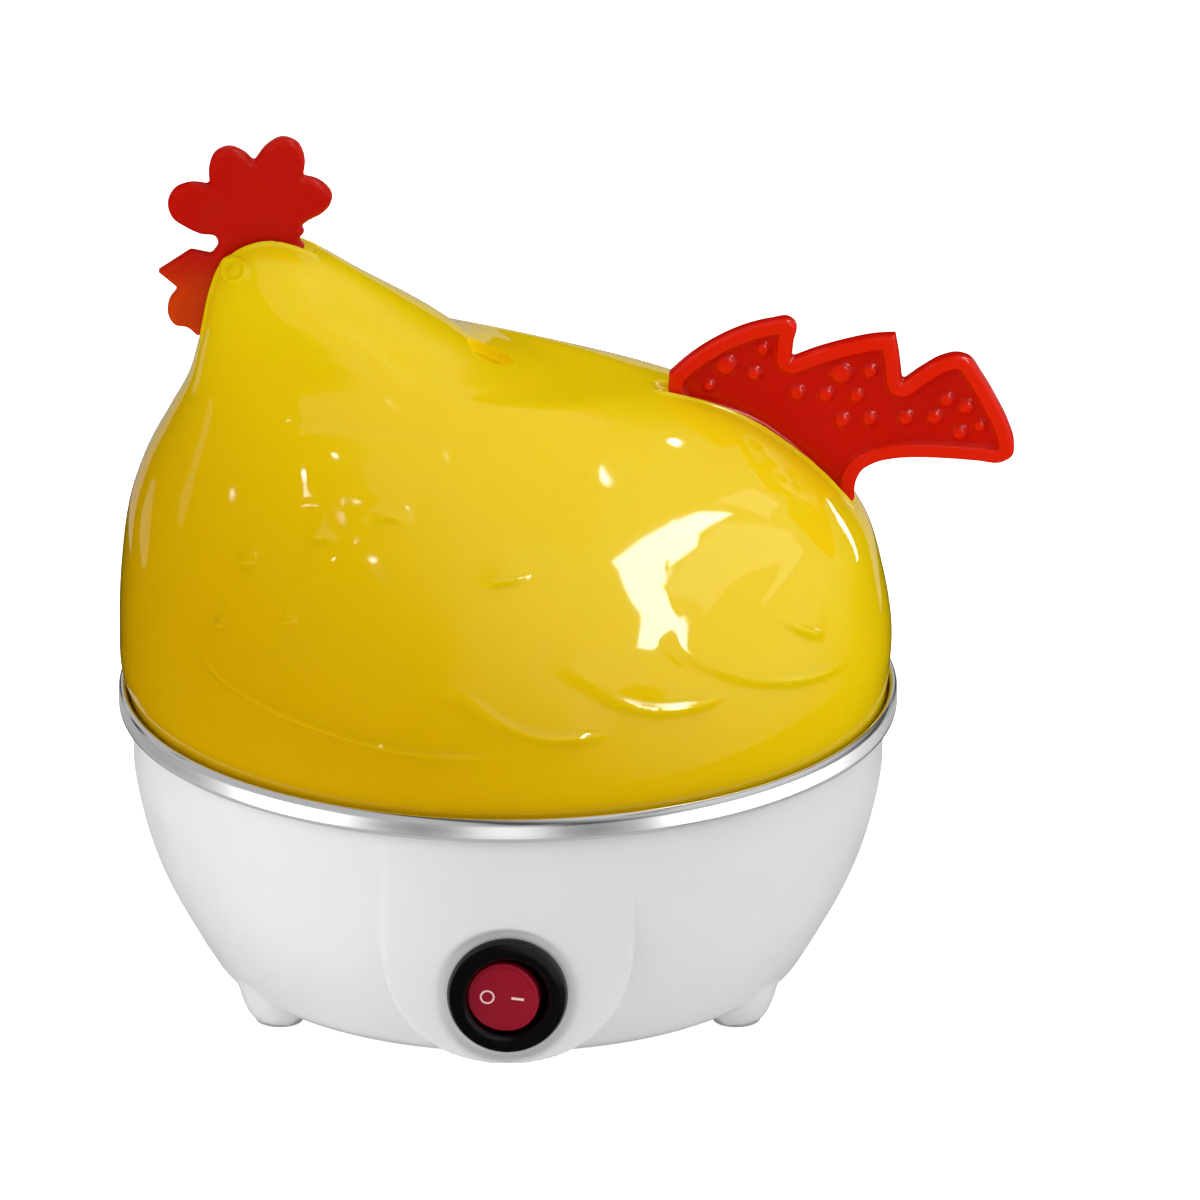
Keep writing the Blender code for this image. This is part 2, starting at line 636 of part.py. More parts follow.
def make_terminal_block(axis):
    bottom = FLOOR_TOP
    width, depth, height = BLOCK_SIZE
    block = solids("terminal_block", [box(BLOCK_SIZE, (0, BLOCK_Y, bottom + height / 2))], NYLON, axis)
    bevel(block, 0.8, 1)
    entries = [
        side_rod(WIRE_R + GAP, depth + 4, (side * width / 4, BLOCK_Y, bottom + height * 0.55), "Y", 10)
        for side in (-1, 1)
    ]
    entries += [rod(1.7, bottom + height * 0.7, bottom + height + 1, (side * width / 4, BLOCK_Y), 10) for side in (-1, 1)]
    cut(block, solids("block_entries", entries, None, axis))
    for number, side in enumerate((-1, 1), 1):
        solids(f"block_screw_{number}", [rod(1.3, bottom + height * 0.78, bottom + height - 0.6,
                                             (side * width / 4, BLOCK_Y), 10)], BRASS, axis)


def make_gland(axis):
    """A turned bushing: its flange is outside the boss, and its sleeve goes in through the wall."""
    turned(
        "cord_gland",
        ((GLAND_BORE_R, 3.6), (GLAND_FLANGE_R - 1.4, 3.6), (GLAND_FLANGE_R, 1.6), (GLAND_FLANGE_R, 0),
         (GLAND_R, 0), (GLAND_R, -11.0), (GLAND_BORE_R, -11.0)),
        BLACK, axis, (0, GLAND_BOSS_Y + GAP, GLAND_Z), (-TURN / 4, 0, 0), steps=24, closed=True,
    )


def make_wires(axis):
    routes = {
        "wire_block_to_switch": [(-5, 16.2, 12.2), (-6, 8, 10.2), (-8, -8, 10.2), (-9, -24, 13), (-6, -34, 18),
                                 (-5, -41.6, 21)],
        "wire_switch_to_thermostat": [(5, -41.6, 21), (7, -34, 19), (11, -20, 14), (8, -6, 12.5), (4.2, 0, 16.6)],
        "wire_thermostat_to_heater": [(-4.2, 0, 16.6), (-8, 4, 15.0), (-17, 14, 18), (-12, 29, 19), (-5.8, 32.4, 24.4)],
        "wire_heater_to_fuse": [(5.8, 32.4, 24.4), (9, 32, 20), (15, 28, 22), (15, 24, 29), (9.2, 24, FUSE_Z)],
        "wire_fuse_to_block": [(-15.2, 24, FUSE_Z), (-20, 25, 28), (-19, 31, 17), (-10, 34.5, 12.2), (-5, 28.4, 12.2)],
    }
    for name, route in routes.items():
        tube(name, smooth_path(route, 4), WIRE_R, WIRE, axis, 2)


# ---------------------------------------------------------------- switch

def make_switch(axis):
    face = new_empty("switch_face", axis, (0, SWITCH_FACE_Y - GAP, SWITCH_Z), (TURN / 4, 0, 0))
    barrel = turned(
        "switch_housing",
        ((0, -POCKET_DEPTH), (POCKET_R, -POCKET_DEPTH), (POCKET_R, BEZEL_THICK - 1.0), (POCKET_R + 0.6, BEZEL_THICK),
         (BEZEL_R - 1.6, BEZEL_THICK), (BEZEL_R - 0.3, BEZEL_THICK - 1.0), (BEZEL_R, 0), (BARREL_R, 0),
         (BARREL_R, -BARREL_DEPTH), (0, -BARREL_DEPTH)),
        BLACK, face, steps=28,
    )
    pin_bores = [side_rod(PIVOT_R + GAP, 2 * (BARREL_R - 0.9), (0, 0, -PIVOT_DEPTH), "Y", 12)]
    cut(barrel, solids("pin_bores", pin_bores, None, face))
    depth = TERMINAL_SIZE[2]
    for number, x in enumerate(TERMINAL_X, 1):
        solids(f"switch_terminal_{number}", [box(TERMINAL_SIZE, (x, 0, -BARREL_DEPTH - GAP - depth / 2))], BRASS, face)

    pivot = new_empty("rocker_pivot", face, (0, 0, -PIVOT_DEPTH), (0, -ROCKER_TILT, 0))
    top = PIVOT_DEPTH + ROCKER_SIDE_UP + 1.0
    rocker = solids("switch_rocker", [rod(ROCKER_R, -1.6, top, segments=36)], RED_LENS, pivot)
    tilt = math.atan2(ROCKER_VALLEY, ROCKER_R)
    for side in (-1, 1):
        wedge = box((20, 20, 10), (side * 10 * math.cos(tilt), 0, top - ROCKER_VALLEY + 5 + 10 * math.sin(tilt)),
                    -side * tilt, "Y")
        cut(rocker, solids(f"rocker_face_cutter_{'left' if side < 0 else 'right'}", [wedge], None, pivot))
    join(rocker, solids("rocker_pins", [side_rod(PIVOT_R, 2 * (BARREL_R - 1.5), (0, 0, 0), "Y", 12)], None, pivot))
    join(rocker, solids("plunger_tube", [rod(2.3, -5.0, -1.0, segments=12)], None, pivot))
    cut(rocker, solids("plunger_bore", [rod(1.5, -6, 0.4, segments=12)], None, pivot))
    solids("switch_plunger", [rod(0.5, -6.6, -4.2, segments=10, top_radius=1.1)], NYLON, pivot)
    coil_turns, coil_points = 4, 9
    helix = [
        (0.85 * math.cos(TURN * i / coil_points), 0.85 * math.sin(TURN * i / coil_points),
         -3.7 + 3.5 * i / (coil_turns * coil_points))
        for i in range(coil_turns * coil_points + 1)
    ]
    tube("plunger_spring", helix, 0.2, STEEL, pivot, 2)
    rest = new_empty("lever_rest", face, (0, 0, -LEVER_DEPTH), (0, LEVER_TILT, 0))
    solids("contact_lever", [box(LEVER_SIZE, (0, 0, 0))], BRASS, rest)
    solids("neon_lamp", [side_rod(1.0, 5.0, (0, 4.6, -POCKET_DEPTH + 1.4), "X", 10)], GLASS, face)


# ---------------------------------------------------------------- the whole cooker

clear_scene()
PARTS = new_collection("egg_cooker")
CUTTERS = new_collection("cutters")
YELLOW = new_material("lid_yellow", (0.72, 0.50, 0.02), 0.15)
RED = new_material("comb_red", (0.62, 0.02, 0.01), 0.30)
WHITE = new_material("housing_white", (0.80, 0.80, 0.79), 0.35)
IVORY = new_material("tray_ivory", (0.85, 0.83, 0.76), 0.40)
BLACK = new_material("switch_black", (0.012, 0.012, 0.012), 0.30)
RED_LENS = new_material("rocker_red", (0.33, 0.01, 0.02), 0.20)
NYLON = new_material("nylon", (0.75, 0.73, 0.68), 0.50)
RUBBER = new_material("pad_rubber", (0.55, 0.55, 0.54), 0.80)
GLASS = new_material("lamp_glass", (0.90, 0.75, 0.65), 0.05)
WIRE = new_material("wire_sleeve", (0.75, 0.74, 0.70), 0.60)
STEEL = new_material("steel", (0.75, 0.75, 0.76), 0.22, 1.0)
DARK_STEEL = new_material("element_sheath", (0.25, 0.24, 0.23), 0.45, 1.0)
ALUMINIUM = new_material("aluminium", (0.80, 0.80, 0.80), 0.40, 1.0)
BRASS = new_material("brass", (0.75, 0.55, 0.22), 0.30, 1.0)

bowl_axis = new_empty("bowl_axis", at=(AXIS_X, 0, 0))
make_lid(bowl_axis)
make_tray(bowl_axis)
make_dish(bowl_axis)
make_housing(bowl_axis)
make_bottom_cover(bowl_axis)
make_heater(bowl_axis)
make_thermostat(bowl_axis)
make_fuse(bowl_axis)
make_terminal_block(bowl_axis)
make_gland(bowl_axis)
make_wires(bowl_axis)
make_switch(bowl_axis)
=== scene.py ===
"""Looks of the hen-shaped egg cooker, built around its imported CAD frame.

Tables and constants are in millimetres about the bowl's axis, and the helpers turn them into metres
in the frame's coordinates. +Z is up, the switch faces -Y and the hen looks towards -X.
"""

import math

import bmesh
import bpy
import numpy as np
from mathutils import Matrix, Vector


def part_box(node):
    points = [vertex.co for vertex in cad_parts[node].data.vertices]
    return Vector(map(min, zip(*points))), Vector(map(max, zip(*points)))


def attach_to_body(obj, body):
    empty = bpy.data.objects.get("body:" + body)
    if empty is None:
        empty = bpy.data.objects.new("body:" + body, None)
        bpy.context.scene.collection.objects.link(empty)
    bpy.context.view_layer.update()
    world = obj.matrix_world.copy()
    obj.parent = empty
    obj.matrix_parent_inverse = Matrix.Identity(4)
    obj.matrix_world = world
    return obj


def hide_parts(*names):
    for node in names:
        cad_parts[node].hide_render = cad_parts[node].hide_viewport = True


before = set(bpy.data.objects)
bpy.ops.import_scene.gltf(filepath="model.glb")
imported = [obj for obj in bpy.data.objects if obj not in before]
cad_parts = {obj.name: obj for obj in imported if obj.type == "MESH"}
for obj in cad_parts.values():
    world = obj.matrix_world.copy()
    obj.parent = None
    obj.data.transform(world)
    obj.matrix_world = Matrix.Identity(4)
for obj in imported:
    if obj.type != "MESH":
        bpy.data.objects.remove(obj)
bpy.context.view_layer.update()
MM = 0.001
TURN = 2 * math.pi
dish_low, dish_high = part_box("heating_dish")
AXIS = np.array([(dish_low.x + dish_high.x) / 2 / MM, 0.0, 0.0])
GAP = 0.3

# ---------------------------------- the lid's tables

# Tilted ovals from the bottom edge to the crown: front point (x, z), rear point (x, z), half width,
# and how much the oval narrows towards the rear.
LID_OVALS = (
    (-67.9, 53.7, 67.9, 53.7, 67.9, 0.00),
    (-68.1, 55.9, 68.0, 55.9, 67.9, 0.00),
    (-69.2, 59.4, 68.4, 59.4, 68.2, 0.00),
    (-69.6, 68.0, 68.8, 66.0, 67.4, 0.00),
    (-69.1, 80.0, 67.3, 76.5, 64.4, 0.00),
    (-67.7, 90.3, 64.6, 86.0, 59.4, 0.03),
    (-65.0, 98.6, 59.9, 92.8, 52.6, 0.06),
    (-61.2, 106.2, 52.5, 100.3, 44.5, 0.12),
    (-57.4, 113.6, 41.0, 108.1, 36.2, 0.26),
    (-55.4, 120.6, 26.5, 112.4, 27.2, 0.22),
    (-54.3, 126.0, 6.0, 115.7, 21.6, 0.06),
    (-53.7, 129.2, -3.0, 118.6, 19.6, 0.00),
    (-52.9, 132.4, -11.0, 123.8, 17.5, 0.00),
    (-50.8, 136.8, -25.0, 132.8, 12.8, 0.20),
    (-47.0, 139.8, -33.6, 138.0, 7.0, 0.05),
)
LID_CROWN = (-41.5, 140.9)
LID_WALL = 2.0
LID_RINGS = 270
LID_SEGMENTS = 960
VENT_X = -3.2
VENT_R = 4.2

# The wing is drawn on a plane tilted like the view down onto it: x, and the height up that plane.
RELIEF_TILT = math.radians(21)
FEATHERS = (  # step height, how far it fades upwards, where its bead begins, the line from front to rear
    (0.9, 9.0, 0.0, ((-58.2, 65.2), (-57.0, 60.6), (-53.8, 55.9), (-48.0, 50.7), (-42.0, 47.3),
                     (-33.5, 43.7), (-24.7, 40.9), (-16.0, 39.1), (-7.2, 38.4), (0.7, 38.4))),
    (1.1, 8.0, 0.15, ((-19.4, 52.3), (-15.0, 51.4), (-7.2, 48.7), (-1.4, 44.8), (5.7, 42.1),
                      (12.0, 41.9), (19.5, 42.8))),
    (1.1, 7.0, 0.3, ((6.8, 55.4), (13.3, 52.0), (19.2, 48.4), (25.4, 46.8), (32.6, 47.5), (39.8, 49.5))),
    (1.0, 7.0, 0.4, ((26.3, 59.5), (34.4, 55.0), (42.5, 52.2), (49.6, 52.0), (56.0, 53.4), (61.6, 55.6))),
    (0.6, 6.0, 0.4, ((43.9, 66.5), (50.4, 61.8), (56.8, 59.5))),
)
WING_TOP = (
    (-43.5, 96.8), (-37.3, 97.3), (-31.0, 97.3), (-22.9, 96.4), (-17.6, 95.3), (-10.4, 94.1), (-2.5, 92.1),
)
TUFTS = (
    ((-36.9, 78.7), (-33.5, 77.2), (-29.9, 77.2)), ((-25.8, 80.5), (-21.0, 80.9), (-16.5, 80.5)),
    ((-48.9, 74.0), (-46.2, 72.8), (-43.4, 72.9)), ((-52.7, 62.9), (-50.8, 61.9), (-48.9, 61.8)),
    ((-41.0, 62.4), (-38.7, 62.2), (-36.4, 62.9)), ((-5.7, 68.8), (2.2, 69.9), (5.0, 71.1)),
)
EYE = (-48.6, 125.4, 2.0)

# ---------------------------------- comb and tail

# Each outline is a row of smooth runs of (x, z) points; a run starts at a corner and ends at the next.
BLANK_HALF = 1.5
COMB_THICK = 3.2
COMB_OUTLINE = (
    ((-36.3, 139.5), (-37.2, 140.8), (-36.3, 142.0)),
    ((-36.9, 143.2), (-35.4, 144.3), (-33.5, 145.3), (-31.7, 147.2), (-31.3, 149.0), (-32.6, 151.0),
     (-34.6, 152.2)),
    ((-36.5, 152.6), (-36.2, 156.0), (-37.4, 158.9), (-40.3, 160.0), (-42.9, 158.6)),
    ((-45.3, 155.4), (-46.8, 157.0), (-50.0, 158.2), (-52.3, 157.0), (-53.3, 154.4)),
    ((-53.2, 151.0), (-56.8, 151.3), (-59.4, 150.2), (-60.7, 147.7), (-60.0, 144.9), (-57.3, 142.8),
     (-54.7, 141.6), (-52.1, 141.1), (-51.7, 139.9)),
    ((-52.9, 137.8),), ((-56.6, 138.6),), ((-62.6, 134.5),),
    ((-58.9, 131.3), (-60.5, 129.0), (-60.7, 126.2), (-59.4, 124.2), (-57.3, 123.8)), ((-55.6, 122.3),),
    ((-50.4, 122.0), (-49.0, 128.0), (-45.0, 133.6), (-40.5, 135.4)), ((-36.9, 134.6),),
)
TAIL_THICK = 3.6
TAIL_OUTLINE = (
    ((28.6, 112.0),),
    ((28.9, 115.2), (32.3, 118.3), (37.3, 121.7), (42.2, 124.0), (47.1, 125.3), (50.4, 125.6),
     (51.5, 124.7), (51.1, 121.0)),
    ((50.8, 118.0), (55.4, 119.8), (60.9, 121.4), (65.8, 122.4)), ((69.4, 122.6), (70.0, 119.0)),
    ((70.6, 113.6), (74.1, 116.2), (77.6, 118.2), (80.5, 118.8), (82.5, 118.2), (84.8, 115.0),
     (87.5, 110.2), (89.6, 105.6), (90.6, 102.0), (90.3, 99.3), (88.4, 98.1), (83.9, 98.4),
     (79.0, 98.8), (74.1, 99.0), (69.2, 98.8), (65.8, 98.0), (63.3, 96.4), (62.3, 94.4)),
    ((62.0, 90.8),), ((56.4, 90.6), (50.0, 98.2), (40.0, 105.2)), ((30.0, 108.0),),
)
TAIL_BUMPS = (
    (39.0, 116.7, 1.9), (45.6, 119.9, 1.1), (44.0, 115.1, 1.3), (36.0, 112.8, 1.0), (51.8, 111.4, 1.4),
    (56.9, 111.2, 1.4), (62.4, 110.9, 1.3), (59.6, 115.1, 2.0), (64.8, 115.6, 1.3), (59.8, 106.2, 1.4),
    (64.7, 106.5, 1.3), (71.2, 106.7, 1.4), (76.3, 106.8, 1.4), (78.5, 110.1, 1.3), (82.0, 108.8, 1.4),
    (80.8, 103.8, 1.3), (84.4, 105.1, 1.1),
)

# ---------------------------------- base tables

HOUSING_PROFILE = (
    (67.3, 52.3), (67.25, 46.0), (67.1, 41.0), (66.0, 34.9), (63.7, 26.7), (60.2, 18.6), (57.8, 14.2),
    (54.7, 8.8), (52.6, 5.7), (50.5, 4.3),
)
HOUSING_UNDER = ((49.0, 3.9), (41.1, 3.9), (41.1, 7.2), (43.8, 7.2), (43.8, 9.6), (46.0, 9.6))
HOUSING_WALL = 2.4
BOSS_HALF_WIDTH = 22.0
BOSS_BOTTOM = 7.6
BOSS_FACE_R = 66.6
BOSS_BLEND = 0.8
FOOT_RING_R = 47.3
FOOT_R = 6.6
FOOT_BOTTOM = 0.8
FOOT_ANGLES = {"front_left": 210, "front_right": 330, "rear": 90}
PAD_R = 4.3
PAD_TOP = 1.7
SWITCH_Z = 21.3
SWITCH_FACE_Y = -65.2
BEZEL_R = 10.8
BEZEL_THICK = 2.9
BARREL_R = 9.4
BARREL_DEPTH = 15.0
POCKET_R = 7.25
POCKET_DEPTH = 11.5
ROCKER_R = 6.45
PIVOT_DEPTH = 2.2
ROCKER_SIDE_UP = 1.5
ROCKER_VALLEY = 0.9
ROCKER_TILT = math.radians(10)
GLAND_Z = 24.0
GLAND_BOSS_R = 8.6
GLAND_BOSS_Y = 64.6

# ---------------------------------- tray

TRAY_R = 63.3
TRAY_PLATE = (55.4, 57.2)
SEAT_R = 16.0
SEAT_RING_R = 41.6
COLLAR_R = 18.2
COLLAR_TOP = 60.2
TRAY_LEG_RING_R = 50.5
TRAY_LEG_R = 3.0
TAB_SIZE = (1.8, 14.0, 16.0)
TAB_X = 60.6
TAB_LEAN = math.radians(6)

# ---------------------------------- dish

DISH_FLOOR = 43.0
DISH_SHEET = 0.8
DISH_PROFILE = (
    (0.02, DISH_FLOOR), (56.5, DISH_FLOOR), (60.2, 44.6), (62.6, 48.0), (64.4, 52.8), (65.2, 53.4),
    (68.2, 53.4), (68.4, 55.6), (68.9, 56.2), (69.5, 56.1), (69.85, 55.2), (69.8, 52.2), (69.4, 51.6),
    (68.6, 51.6), (68.6, 52.6), (64.9, 52.6), (63.7, 51.6), (61.9, 47.6), (59.6, 45.0),
    (56.3, DISH_FLOOR - DISH_SHEET), (0.02, DISH_FLOOR - DISH_SHEET),
)


# ---------------------------------- curves and numbers

def smoothstep(low, high, values):
    t = np.clip((values - low) / (high - low), 0, 1)
    return t * t * (3 - 2 * t)


def through(knots, places):
    """A smooth curve through the knots, spaced by their distances, read at places from 0 to 1."""
    knots = np.asarray(knots, float)
    gaps = np.linalg.norm(np.diff(knots, axis=0), axis=1)
    at = np.concatenate([[0], np.cumsum(gaps)])
    slopes = np.diff(knots, axis=0) / gaps[:, None]
    tangents = np.empty_like(knots)
    tangents[0], tangents[-1] = slopes[0], slopes[-1]
    weight = (gaps[1:] / (gaps[:-1] + gaps[1:]))[:, None]
    tangents[1:-1] = slopes[:-1] * weight + slopes[1:] * (1 - weight)
    position = np.clip(np.asarray(places, float), 0, 1) * at[-1]
    i = np.clip(np.searchsorted(at, position, "right") - 1, 0, len(gaps) - 1)
    h = gaps[i][:, None]
    t = ((position - at[i]) / gaps[i])[:, None]
    return (knots[i] * (1 + 2 * t) * (1 - t) ** 2 + tangents[i] * h * t * (1 - t) ** 2
            + knots[i + 1] * t * t * (3 - 2 * t) + tangents[i + 1] * h * t * t * (t - 1))


def outline_points(runs, step=0.5):
    """The closed outline of the runs as points about a step apart."""
    points = []
    for run, following in zip(runs, runs[1:] + runs[:1]):
        knots = np.array([*run, following[0]])
        length = sum(np.linalg.norm(b - a) for a, b in zip(knots, knots[1:]))
        count = max(2, int(length / step))
        points.extend(through(knots, np.arange(count) / count))
    return np.array(points)


def distance_to_line(points, line, closed=False):
    """For each point: distance to the line, side (left is positive), and place from 0 to 1 along it."""
    line = np.asarray(line, float)
    if closed:
        line = np.vstack([line, line[:1]])
    best = np.full(len(points), np.inf)
    side = np.ones(len(points))
    place = np.zeros(len(points))
    spans = np.linalg.norm(np.diff(line, axis=0), axis=1)
    total = spans.sum()
    before = 0.0
    for a, b, span in zip(line, line[1:], spans):
        along = (b - a) / span
        offset = points - a
        t = np.clip(offset @ along, 0, span)
        gap = offset - t[:, None] * along
        d = np.hypot(gap[:, 0], gap[:, 1])
        near = d < best
        best[near] = d[near]
        side[near] = np.sign(along[0] * offset[near, 1] - along[1] * offset[near, 0])
        place[near] = (before + t[near]) / total
        before += span
    return best, side, place


def inside_outline(points, outline):
    x, z = points[:, 0], points[:, 1]
    inside = np.zeros(len(points), bool)
    for (x0, z0), (x1, z1) in zip(outline, np.roll(outline, -1, axis=0)):
        crosses = (z0 > z) != (z1 > z)
        inside ^= crosses & (x < (x1 - x0) * (z - z0) / (z1 - z0 + 1e-12) + x0)
    return inside


def rounded(profile, reach, steps=4, closed=True):
    """The profile with each corner replaced by a small curve that starts at most `reach` before it."""
    profile = [np.array(p, float) for p in profile]
    out = []
    count = len(profile)
    for i, here in enumerate(profile):
        if not closed and i in (0, count - 1):
            out.append(here)
            continue
        before, after = profile[i - 1], profile[(i + 1) % count]
        start = here + (before - here) * min(reach / np.linalg.norm(before - here), 0.48)
        end = here + (after - here) * min(reach / np.linalg.norm(after - here), 0.48)
        for t in np.linspace(0, 1, steps + 1):
            out.append(start * (1 - t) ** 2 + 2 * here * t * (1 - t) + end * t * t)
    return np.array(out)


# ---------------------------------- mesh helpers

def linked(name, data):
    """A new object in the scene, from a mesh, a camera or a lamp."""
    obj = bpy.data.objects.new(name, data)
    bpy.context.scene.collection.objects.link(obj)
    return obj


def mesh_object(name, vertices, faces, material):
    """An object from vertices in millimetres."""
    mesh = bpy.data.meshes.new(name)
    mesh.from_pydata((np.asarray(vertices) * MM).tolist(), [], faces)
    mesh.shade_smooth()
    if material:
        mesh.materials.append(material)
    return linked(name, mesh)


def bmesh_object(name, body, material=None):
    """An object from a bmesh, which is used up."""
    mesh = bpy.data.meshes.new(name)
    body.to_mesh(mesh)
    body.free()
    if material:
        mesh.materials.append(material)
    return linked(name, mesh)


def grid_faces(rows, columns, wrap_rows=False):
    """Quads of a grid whose columns close round on themselves."""
    faces = []
    for i in range(rows if wrap_rows else rows - 1):
        low, high = i * columns, ((i + 1) % rows) * columns
        for j in range(columns):
            k = (j + 1) % columns
            faces.append((low + j, low + k, high + k, high + j))
    return faces


def revolved_points(profile, segments):
    angles = np.arange(segments) / segments * TURN
    radius, height = profile[:, 0][:, None], profile[:, 1][:, None]
    x, y = radius * np.cos(angles), radius * np.sin(angles)
    return np.stack(np.broadcast_arrays(x, y, height), axis=-1)


def revolved(name, profile, material, segments=96, at=(0, 0, 0), turned_by=None):
    """A turned solid. Its profile is a closed ring off the axis, or starts and ends on the axis."""
    profile = np.asarray(profile, float)
    if profile[0][0] > 0:
        points = revolved_points(profile, segments)
        vertices = points.reshape(-1, 3)
        faces = grid_faces(len(profile), segments, wrap_rows=True)
    else:
        points = revolved_points(profile[1:-1], segments)
        rows = len(profile) - 2
        vertices = np.vstack([points.reshape(-1, 3), [[0, 0, profile[0][1]], [0, 0, profile[-1][1]]]])
        faces = grid_faces(rows, segments)
        top, bottom = rows * segments, rows * segments + 1
        last = (rows - 1) * segments
        for j in range(segments):
            k = (j + 1) % segments
            faces.append((top, k, j))
            faces.append((bottom, last + j, last + k))
    if turned_by is not None:
        vertices = vertices @ np.array(turned_by.to_3x3()).T
    obj = mesh_object(name, vertices + np.array(at, float) + AXIS, faces, material)
    return face_outward(obj)


def round_cutter(radius, start, end, at, turned_by=None, segments=64):
    """A cylinder between two heights, to cut with."""
    profile = [(0, start), (radius, start), (radius, end), (0, end)]
    return revolved("cutter", profile, None, segments, at, turned_by)


def on_ring(radius, angle):
    return (radius * math.cos(angle), radius * math.sin(angle), 0.0)


def face_outward(obj):
    body = bmesh.new()
    body.from_mesh(obj.data)
    bmesh.ops.recalc_face_normals(body, faces=body.faces)
    body.to_mesh(obj.data)
    body.free()
    return obj


def baked(obj):
    """The object with its modifiers applied."""
    bpy.context.view_layer.update()
    graph = bpy.context.evaluated_depsgraph_get()
    mesh = bpy.data.meshes.new_from_object(obj.evaluated_get(graph))
    old = obj.data
    obj.modifiers.clear()
    obj.data = mesh
    bpy.data.meshes.remove(old)
    return obj


def read_points(obj):
    co = np.empty(len(obj.data.vertices) * 3)
    obj.data.vertices.foreach_get("co", co)
    return co.reshape(-1, 3) / MM


def write_points(obj, points):
    obj.data.vertices.foreach_set("co", (points * MM).ravel())
    obj.data.update()


def cut_with(obj, cutters):
    for cutter in cutters:
        modifier = obj.modifiers.new("cut", "BOOLEAN")
        modifier.operation = "DIFFERENCE"
        modifier.solver = "EXACT"
        modifier.object = cutter
    baked(obj)
    for cutter in cutters:
        bpy.data.objects.remove(cutter)
    return obj


def joined(name, objects):
    """One object from several, in the first one's material."""
    body = bmesh.new()
    for obj in objects:
        body.from_mesh(obj.data)
    whole = bmesh_object(name, body, objects[0].data.materials[0])
    whole.data.shade_smooth()
    for obj in objects:
        bpy.data.objects.remove(obj)
    return whole


def crease_edges(obj, degrees=35):
    """Smooth shading that stays sharp at edges steeper than this."""
    obj.data.shade_smooth()
    obj.data.set_sharp_from_angle(angle=math.radians(degrees))
    return obj


# ---------------------------------- materials

def add_node(tree, kind, **inputs):
    """A new node with some inputs set; their names have underscores for spaces."""
    node = tree.nodes.new("ShaderNode" + kind)
    for name, value in inputs.items():
        node.inputs[name.replace("_", " ")].default_value = value
    return node


def node_material(name):
    material = bpy.data.materials.new(name)
    material.use_nodes = True
    return material, material.node_tree


class Nodes:
    """A material's node tree, with the few nodes that moulded and metal surfaces need."""

    def __init__(self, name):
        self.material, self.tree = node_material(name)
        self.link = self.tree.links.new
        self.shader = self.tree.nodes["Principled BSDF"]
        self.place = add_node(self.tree, "TexCoord").outputs["Object"]
        self.colour = None

    def set(self, **values):
        for key, value in values.items():
            self.shader.inputs[key.replace("_", " ")].default_value = value

    def noise(self, scale, detail=4.0, stretch=(1, 1, 1)):
        mapping = add_node(self.tree, "Mapping", Scale=stretch)
        noise = add_node(self.tree, "TexNoise", Scale=scale, Detail=detail)
        self.link(self.place, mapping.inputs["Vector"])
        self.link(mapping.outputs["Vector"], noise.inputs["Vector"])
        return noise.outputs["Fac"]

    def ramp(self, value, low, high):
        """The middle of a noise's range, spread from low to high."""
        node = add_node(self.tree, "MapRange", From_Min=0.35, From_Max=0.65, To_Min=low, To_Max=high)
        self.link(value, node.inputs["Value"])
        return node.outputs["Result"]

    def tint(self, factor, second, first=None):
        """Mixes a second colour into the first, which is the base colour so far unless it is given."""
        node = self.tree.nodes.new("ShaderNodeMix")
        node.data_type = "RGBA"
        node.inputs["B"].default_value = (*second, 1)
        if first:
            node.inputs["A"].default_value = (*first, 1)
        else:
            self.link(self.colour, node.inputs["A"])
        self.link(factor, node.inputs["Factor"])
        self.colour = node.outputs["Result"]
        self.link(self.colour, self.shader.inputs["Base Color"])

    def gloss(self, factor, low, high):
        self.link(self.ramp(factor, low, high), self.shader.inputs["Roughness"])

    def bump(self, height, depth_mm, strength=1.0):
        node = add_node(self.tree, "Bump", Distance=depth_mm * MM, Strength=strength)
        self.link(height, node.inputs["Height"])
        self.link(node.outputs["Normal"], self.shader.inputs["Normal"])

    def tone(self, direction, colour, low, high, both_sides=False):
        """Tints towards a colour along a direction of the object, in metres, or along both its ways. The
        lid and the tail use it to paint light and shade.
        """
        along = self.tree.nodes.new("ShaderNodeVectorMath")
        along.operation = "DOT_PRODUCT"
        along.inputs[1].default_value = direction
        self.link(self.place, along.inputs[0])
        distance = along.outputs["Value"]
        if both_sides:
            size = self.tree.nodes.new("ShaderNodeMath")
            size.operation = "ABSOLUTE"
            self.link(distance, size.inputs[0])
            distance = size.outputs[0]
        fade = add_node(self.tree, "MapRange", From_Min=low, From_Max=high)
        fade.interpolation_type = "SMOOTHSTEP"
        self.link(distance, fade.inputs["Value"])
        self.tint(fade.outputs["Result"], colour)


def plastic(name, colour, second, roughness, glow=0.0, coat=0.0, ripple=0.02, grain=None, specular=0.5,
            tone=None):
    """Moulded plastic: a cloudy tint, slightly uneven gloss, and moulding ripples or a fine grain. A tone,
    if given, tints it along a direction; on the lid and the tail that tone is painted light and shade.
    """
    nodes = Nodes(name)
    nodes.tint(nodes.ramp(nodes.noise(28, 3), 0, 1), second, colour)
    nodes.gloss(nodes.noise(90, 5), roughness * 0.85, roughness * 1.2)
    nodes.set(Coat_Weight=coat, Coat_Roughness=0.04, Subsurface_Weight=glow, Subsurface_Scale=0.004,
              Subsurface_Radius=(1.0, 0.6, 0.25), Specular_IOR_Level=specular, IOR=1.49)
    if grain:
        nodes.bump(nodes.noise(grain, 3), 0.03, 0.5)
    else:
        nodes.bump(nodes.noise(55, 2), ripple)
    if tone:
        nodes.tone(*tone)
    return nodes.material


